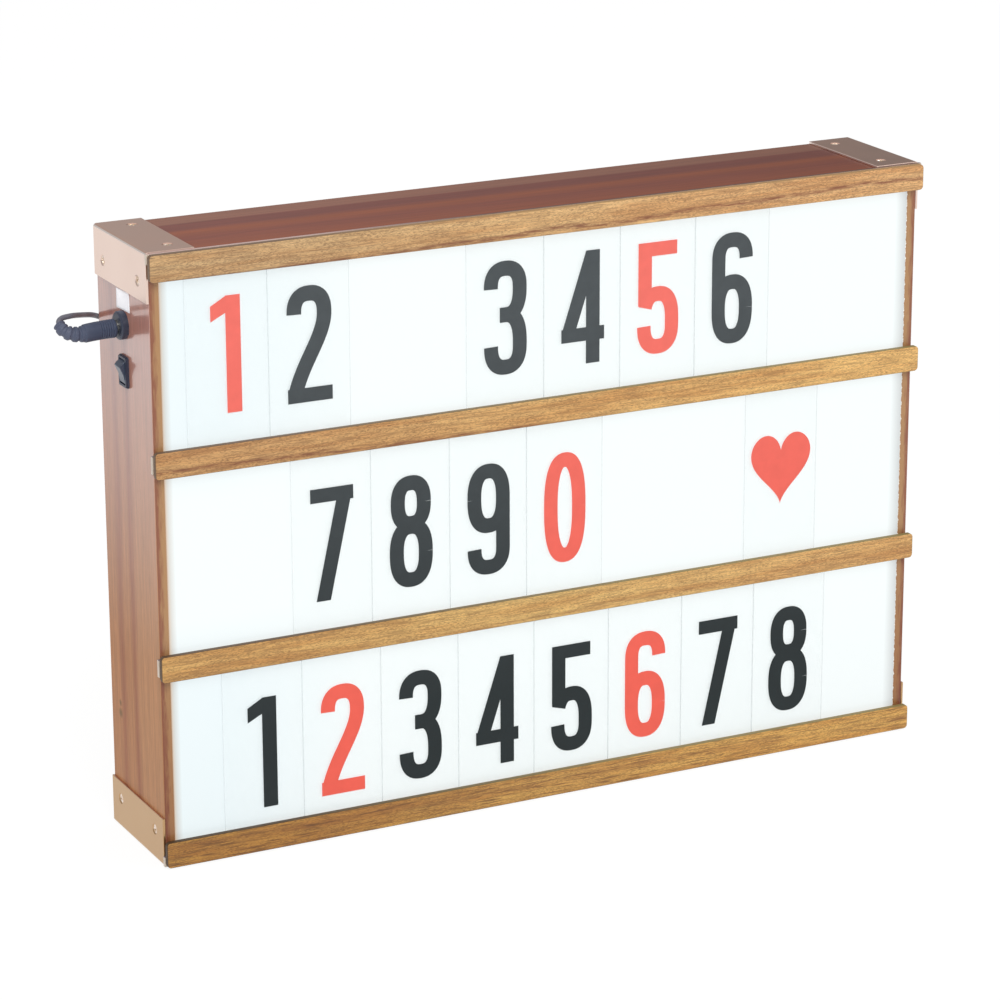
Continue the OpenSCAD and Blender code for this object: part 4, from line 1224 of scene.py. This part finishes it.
def stick_label(lead):
    """Sticks a blank paper label on the left board, over the socket."""
    paper = moulded("label_paper", lead.label, 0.6, 0.4, 0.01)
    # The paper also glows faintly in its own colour: painted light that brightens the label
    plug(paper.node_tree.nodes["Principled BSDF"], {"Emission Color": lead.label, "Emission Strength": 0.3})
    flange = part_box("dc_socket")[1].z
    low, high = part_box("left_side_board")
    # A sheet on the board that lifts a little towards one corner, by the product of both shares
    wide, tall, gap, slant = 16.5 * MM, 9.4 * MM, 0.3 * MM, 0.6 * MM
    columns, rows = 13, 9
    u, v = np.meshgrid(np.linspace(0, 1, columns), np.linspace(0, 1, rows), indexing="ij")
    lift = 0.3 * MM * (u * v) ** 6
    y = (low.y + high.y) / 2 + wide * (0.5 - u)
    z = flange + gap + tall * v + slant * (u - 0.5)
    points = np.stack([low.x - 0.02 * MM - lift, y, z], axis=-1)
    column, row = np.meshgrid(np.arange(columns - 1), np.arange(rows - 1), indexing="ij")
    start = column * rows + row
    faces = np.stack([start, start + rows, start + rows + 1, start + 1], axis=-1).reshape(-1, 4)
    mesh = bpy.data.meshes.new("blank_label")
    mesh.from_pydata(points.reshape(-1, 3).tolist(), [], faces.tolist())
    mesh.materials.append(paper)
    mesh.shade_smooth()
    label = link(bpy.data.objects.new("blank_label", mesh), "case")
    sheet = label.modifiers.new("Paper", "SOLIDIFY")
    sheet.thickness = 0.1 * MM
    sheet.offset = 1


class LIGHTBOX_OT_controls(bpy.types.Operator):
    """Dresses the socket, the switch and what is wired to them, and sticks a blank label over the socket"""

    bl_idname = "lightbox.controls"
    bl_label = "Socket, switch and label"

    def execute(self, context):
        metal, lead = context.scene.light_box_metal, context.scene.light_box_lead
        nylon = moulded("moulded_nylon", lead.socket, 0.42, 0.5, 0.02)
        gloss = moulded("gloss_abs", lead.rocker, 0.28, 1.2, 0.005)
        wire = moulded("wire_insulation", linear("#8E2F2A"), 0.4, 1.0, 0.01)
        brass = plated("tinned_brass", metal.brass, linear("#B8AA7A"), 0.3, 2)
        dress(nylon, "dc_socket", "switch_body")
        eased("switch_rocker", 0.3 * MM, gloss, "rocker")
        dress(wire, "wiring")
        dress(brass, "solder_tags")
        stick_label(lead)
        return {"FINISHED"}


def painted_floor(stage):
    """Painted floor: it is lit as a pale grey, and shows as white to the camera and in reflections."""
    material = bpy.data.materials.new("pale_floor")
    material.use_nodes = True
    tree = material.node_tree
    tree.nodes.clear()
    rays = add(tree, "LightPath")
    seen = add(tree, "Math", {0: rays.outputs["Is Camera Ray"], 1: rays.outputs["Is Glossy Ray"]})
    seen = add(tree, "Math", {0: seen, 1: rays.outputs["Is Transmission Ray"]}, use_clamp=True)
    share_seen = add(tree, "Math", {0: seen, 1: 0.78}, operation="MULTIPLY")
    paint = add(tree, "BsdfDiffuse", {"Color": stage.floor})
    white = add(tree, "Emission", {"Color": WHITE, "Strength": 1.12})
    mix = add(tree, "MixShader", {0: share_seen, 1: paint, 2: white})
    add(tree, "OutputMaterial", {0: mix})
    return material


def room_light(stage):
    """The room: an even light on the object, and white to the camera."""
    world = bpy.data.worlds.new("room")
    world.use_nodes = True
    tree = world.node_tree
    tree.nodes.clear()
    rays = add(tree, "LightPath")
    place = add(tree, "TexCoord")
    parts = add(tree, "SeparateXYZ", {0: place.outputs["Generated"]})
    # In reflections the room is dim near the horizon, more so to the right behind, and bright overhead
    aside = add(tree, "MapRange", {0: parts.outputs[0], 1: 0.34, 2: 0.52, 3: 0.5, 4: 0.2})
    high = add(tree, "MapRange", {0: parts.outputs[2], 1: 0.3, 2: 0.75, 3: 0.0, 4: 0.95})
    dim = add(tree, "Math", {0: aside, 1: high}, operation="MAXIMUM")
    plain = add(tree, "Background", {"Color": WHITE, "Strength": stage.sky})
    mirrored = add(tree, "Background", {"Color": dim, "Strength": 1.0})
    white = add(tree, "Background", {"Color": WHITE, "Strength": 1.0})
    lit = add(tree, "MixShader", {0: rays.outputs["Is Glossy Ray"], 1: plain, 2: mirrored})
    direct = add(
        tree,
        "Math",
        {0: rays.outputs["Is Camera Ray"], 1: rays.outputs["Is Transmission Ray"]},
        operation="MAXIMUM",
    )
    final = add(tree, "MixShader", {0: direct, 1: lit, 2: white})
    add(tree, "OutputWorld", {0: final})
    return world


class LIGHTBOX_OT_stage(bpy.types.Operator):
    """Makes the pale floor, the room's light and two soft lamps"""

    bl_idname = "lightbox.stage"
    bl_label = "Stage"

    def execute(self, context):
        stage = context.scene.light_box_stage
        half = 8.0
        mesh = bpy.data.meshes.new("floor")
        mesh.from_pydata(
            [(-half, -half, 0), (half, -half, 0), (half, half, 0), (-half, half, 0)], [], [(0, 1, 2, 3)]
        )
        floor = bpy.data.objects.new("floor", mesh)
        context.scene.collection.objects.link(floor)
        mesh.materials.append(painted_floor(stage))
        context.scene.world = room_light(stage)
        for name, place, size, watts in (
            ("key_lamp", (-1.0, -2.0, 1.9), 1.4, stage.key_watts),
            ("fill_lamp", (1.9, -1.2, 1.2), 1.6, stage.fill_watts),
        ):
            lamp = bpy.data.lights.new(name, "AREA")
            lamp.energy, lamp.size = watts, size
            obj = bpy.data.objects.new(name, lamp)
            toward = Vector((0, 0, 0.15)) - Vector(place)
            aim = toward.to_track_quat("-Z", "Y").to_matrix().to_4x4()
            obj.matrix_world = Matrix.Translation(place) @ aim
            context.scene.collection.objects.link(obj)
        context.scene.view_settings.view_transform = "Standard"
        return {"FINISHED"}


class LIGHTBOX_PT_panel(bpy.types.Panel):
    """Lists the light box's pieces and settings in the sidebar"""

    bl_idname = "LIGHTBOX_PT_panel"
    bl_label = "Light Box"
    bl_space_type = "VIEW_3D"
    bl_region_type = "UI"
    bl_category = "Light Box"

    def draw(self, context):
        layout = self.layout
        for operator in STEPS:
            layout.operator(operator.bl_idname)
        for name in GROUPS:
            box = layout.box()
            group = getattr(context.scene, name)
            for field in group.bl_rna.properties:
                if not field.is_readonly and field.identifier != "name":
                    box.prop(group, field.identifier)


GROUPS = {
    "light_box_wood": LightBoxWood,
    "light_box_metal": LightBoxMetal,
    "light_box_light": LightBoxLight,
    "light_box_letters": LightBoxLetters,
    "light_box_lead": LightBoxLead,
    "light_box_stage": LightBoxStage,
}
STEPS = [
    LIGHTBOX_OT_camera,
    LIGHTBOX_OT_far_plug,
    LIGHTBOX_OT_lead,
    LIGHTBOX_OT_plug,
    LIGHTBOX_OT_wood,
    LIGHTBOX_OT_metal,
    LIGHTBOX_OT_panel,
    LIGHTBOX_OT_tiles,
    LIGHTBOX_OT_controls,
    LIGHTBOX_OT_stage,
]


def register():
    """Adds the settings, operators and panel."""
    for name, group in GROUPS.items():
        bpy.utils.register_class(group)
        setattr(bpy.types.Scene, name, bpy.props.PointerProperty(type=group))
    for cls in STEPS + [LIGHTBOX_PT_panel]:
        bpy.utils.register_class(cls)


def unregister():
    """Takes them away again."""
    for cls in [LIGHTBOX_PT_panel] + STEPS[::-1]:
        bpy.utils.unregister_class(cls)
    for name, group in GROUPS.items():
        delattr(bpy.types.Scene, name)
        bpy.utils.unregister_class(group)


def main():
    """Builds the light box."""
    register()
    for operator in STEPS:
        group, name = operator.bl_idname.split(".")
        getattr(getattr(bpy.ops, group), name)()


if __name__ == "__main__":
    main()
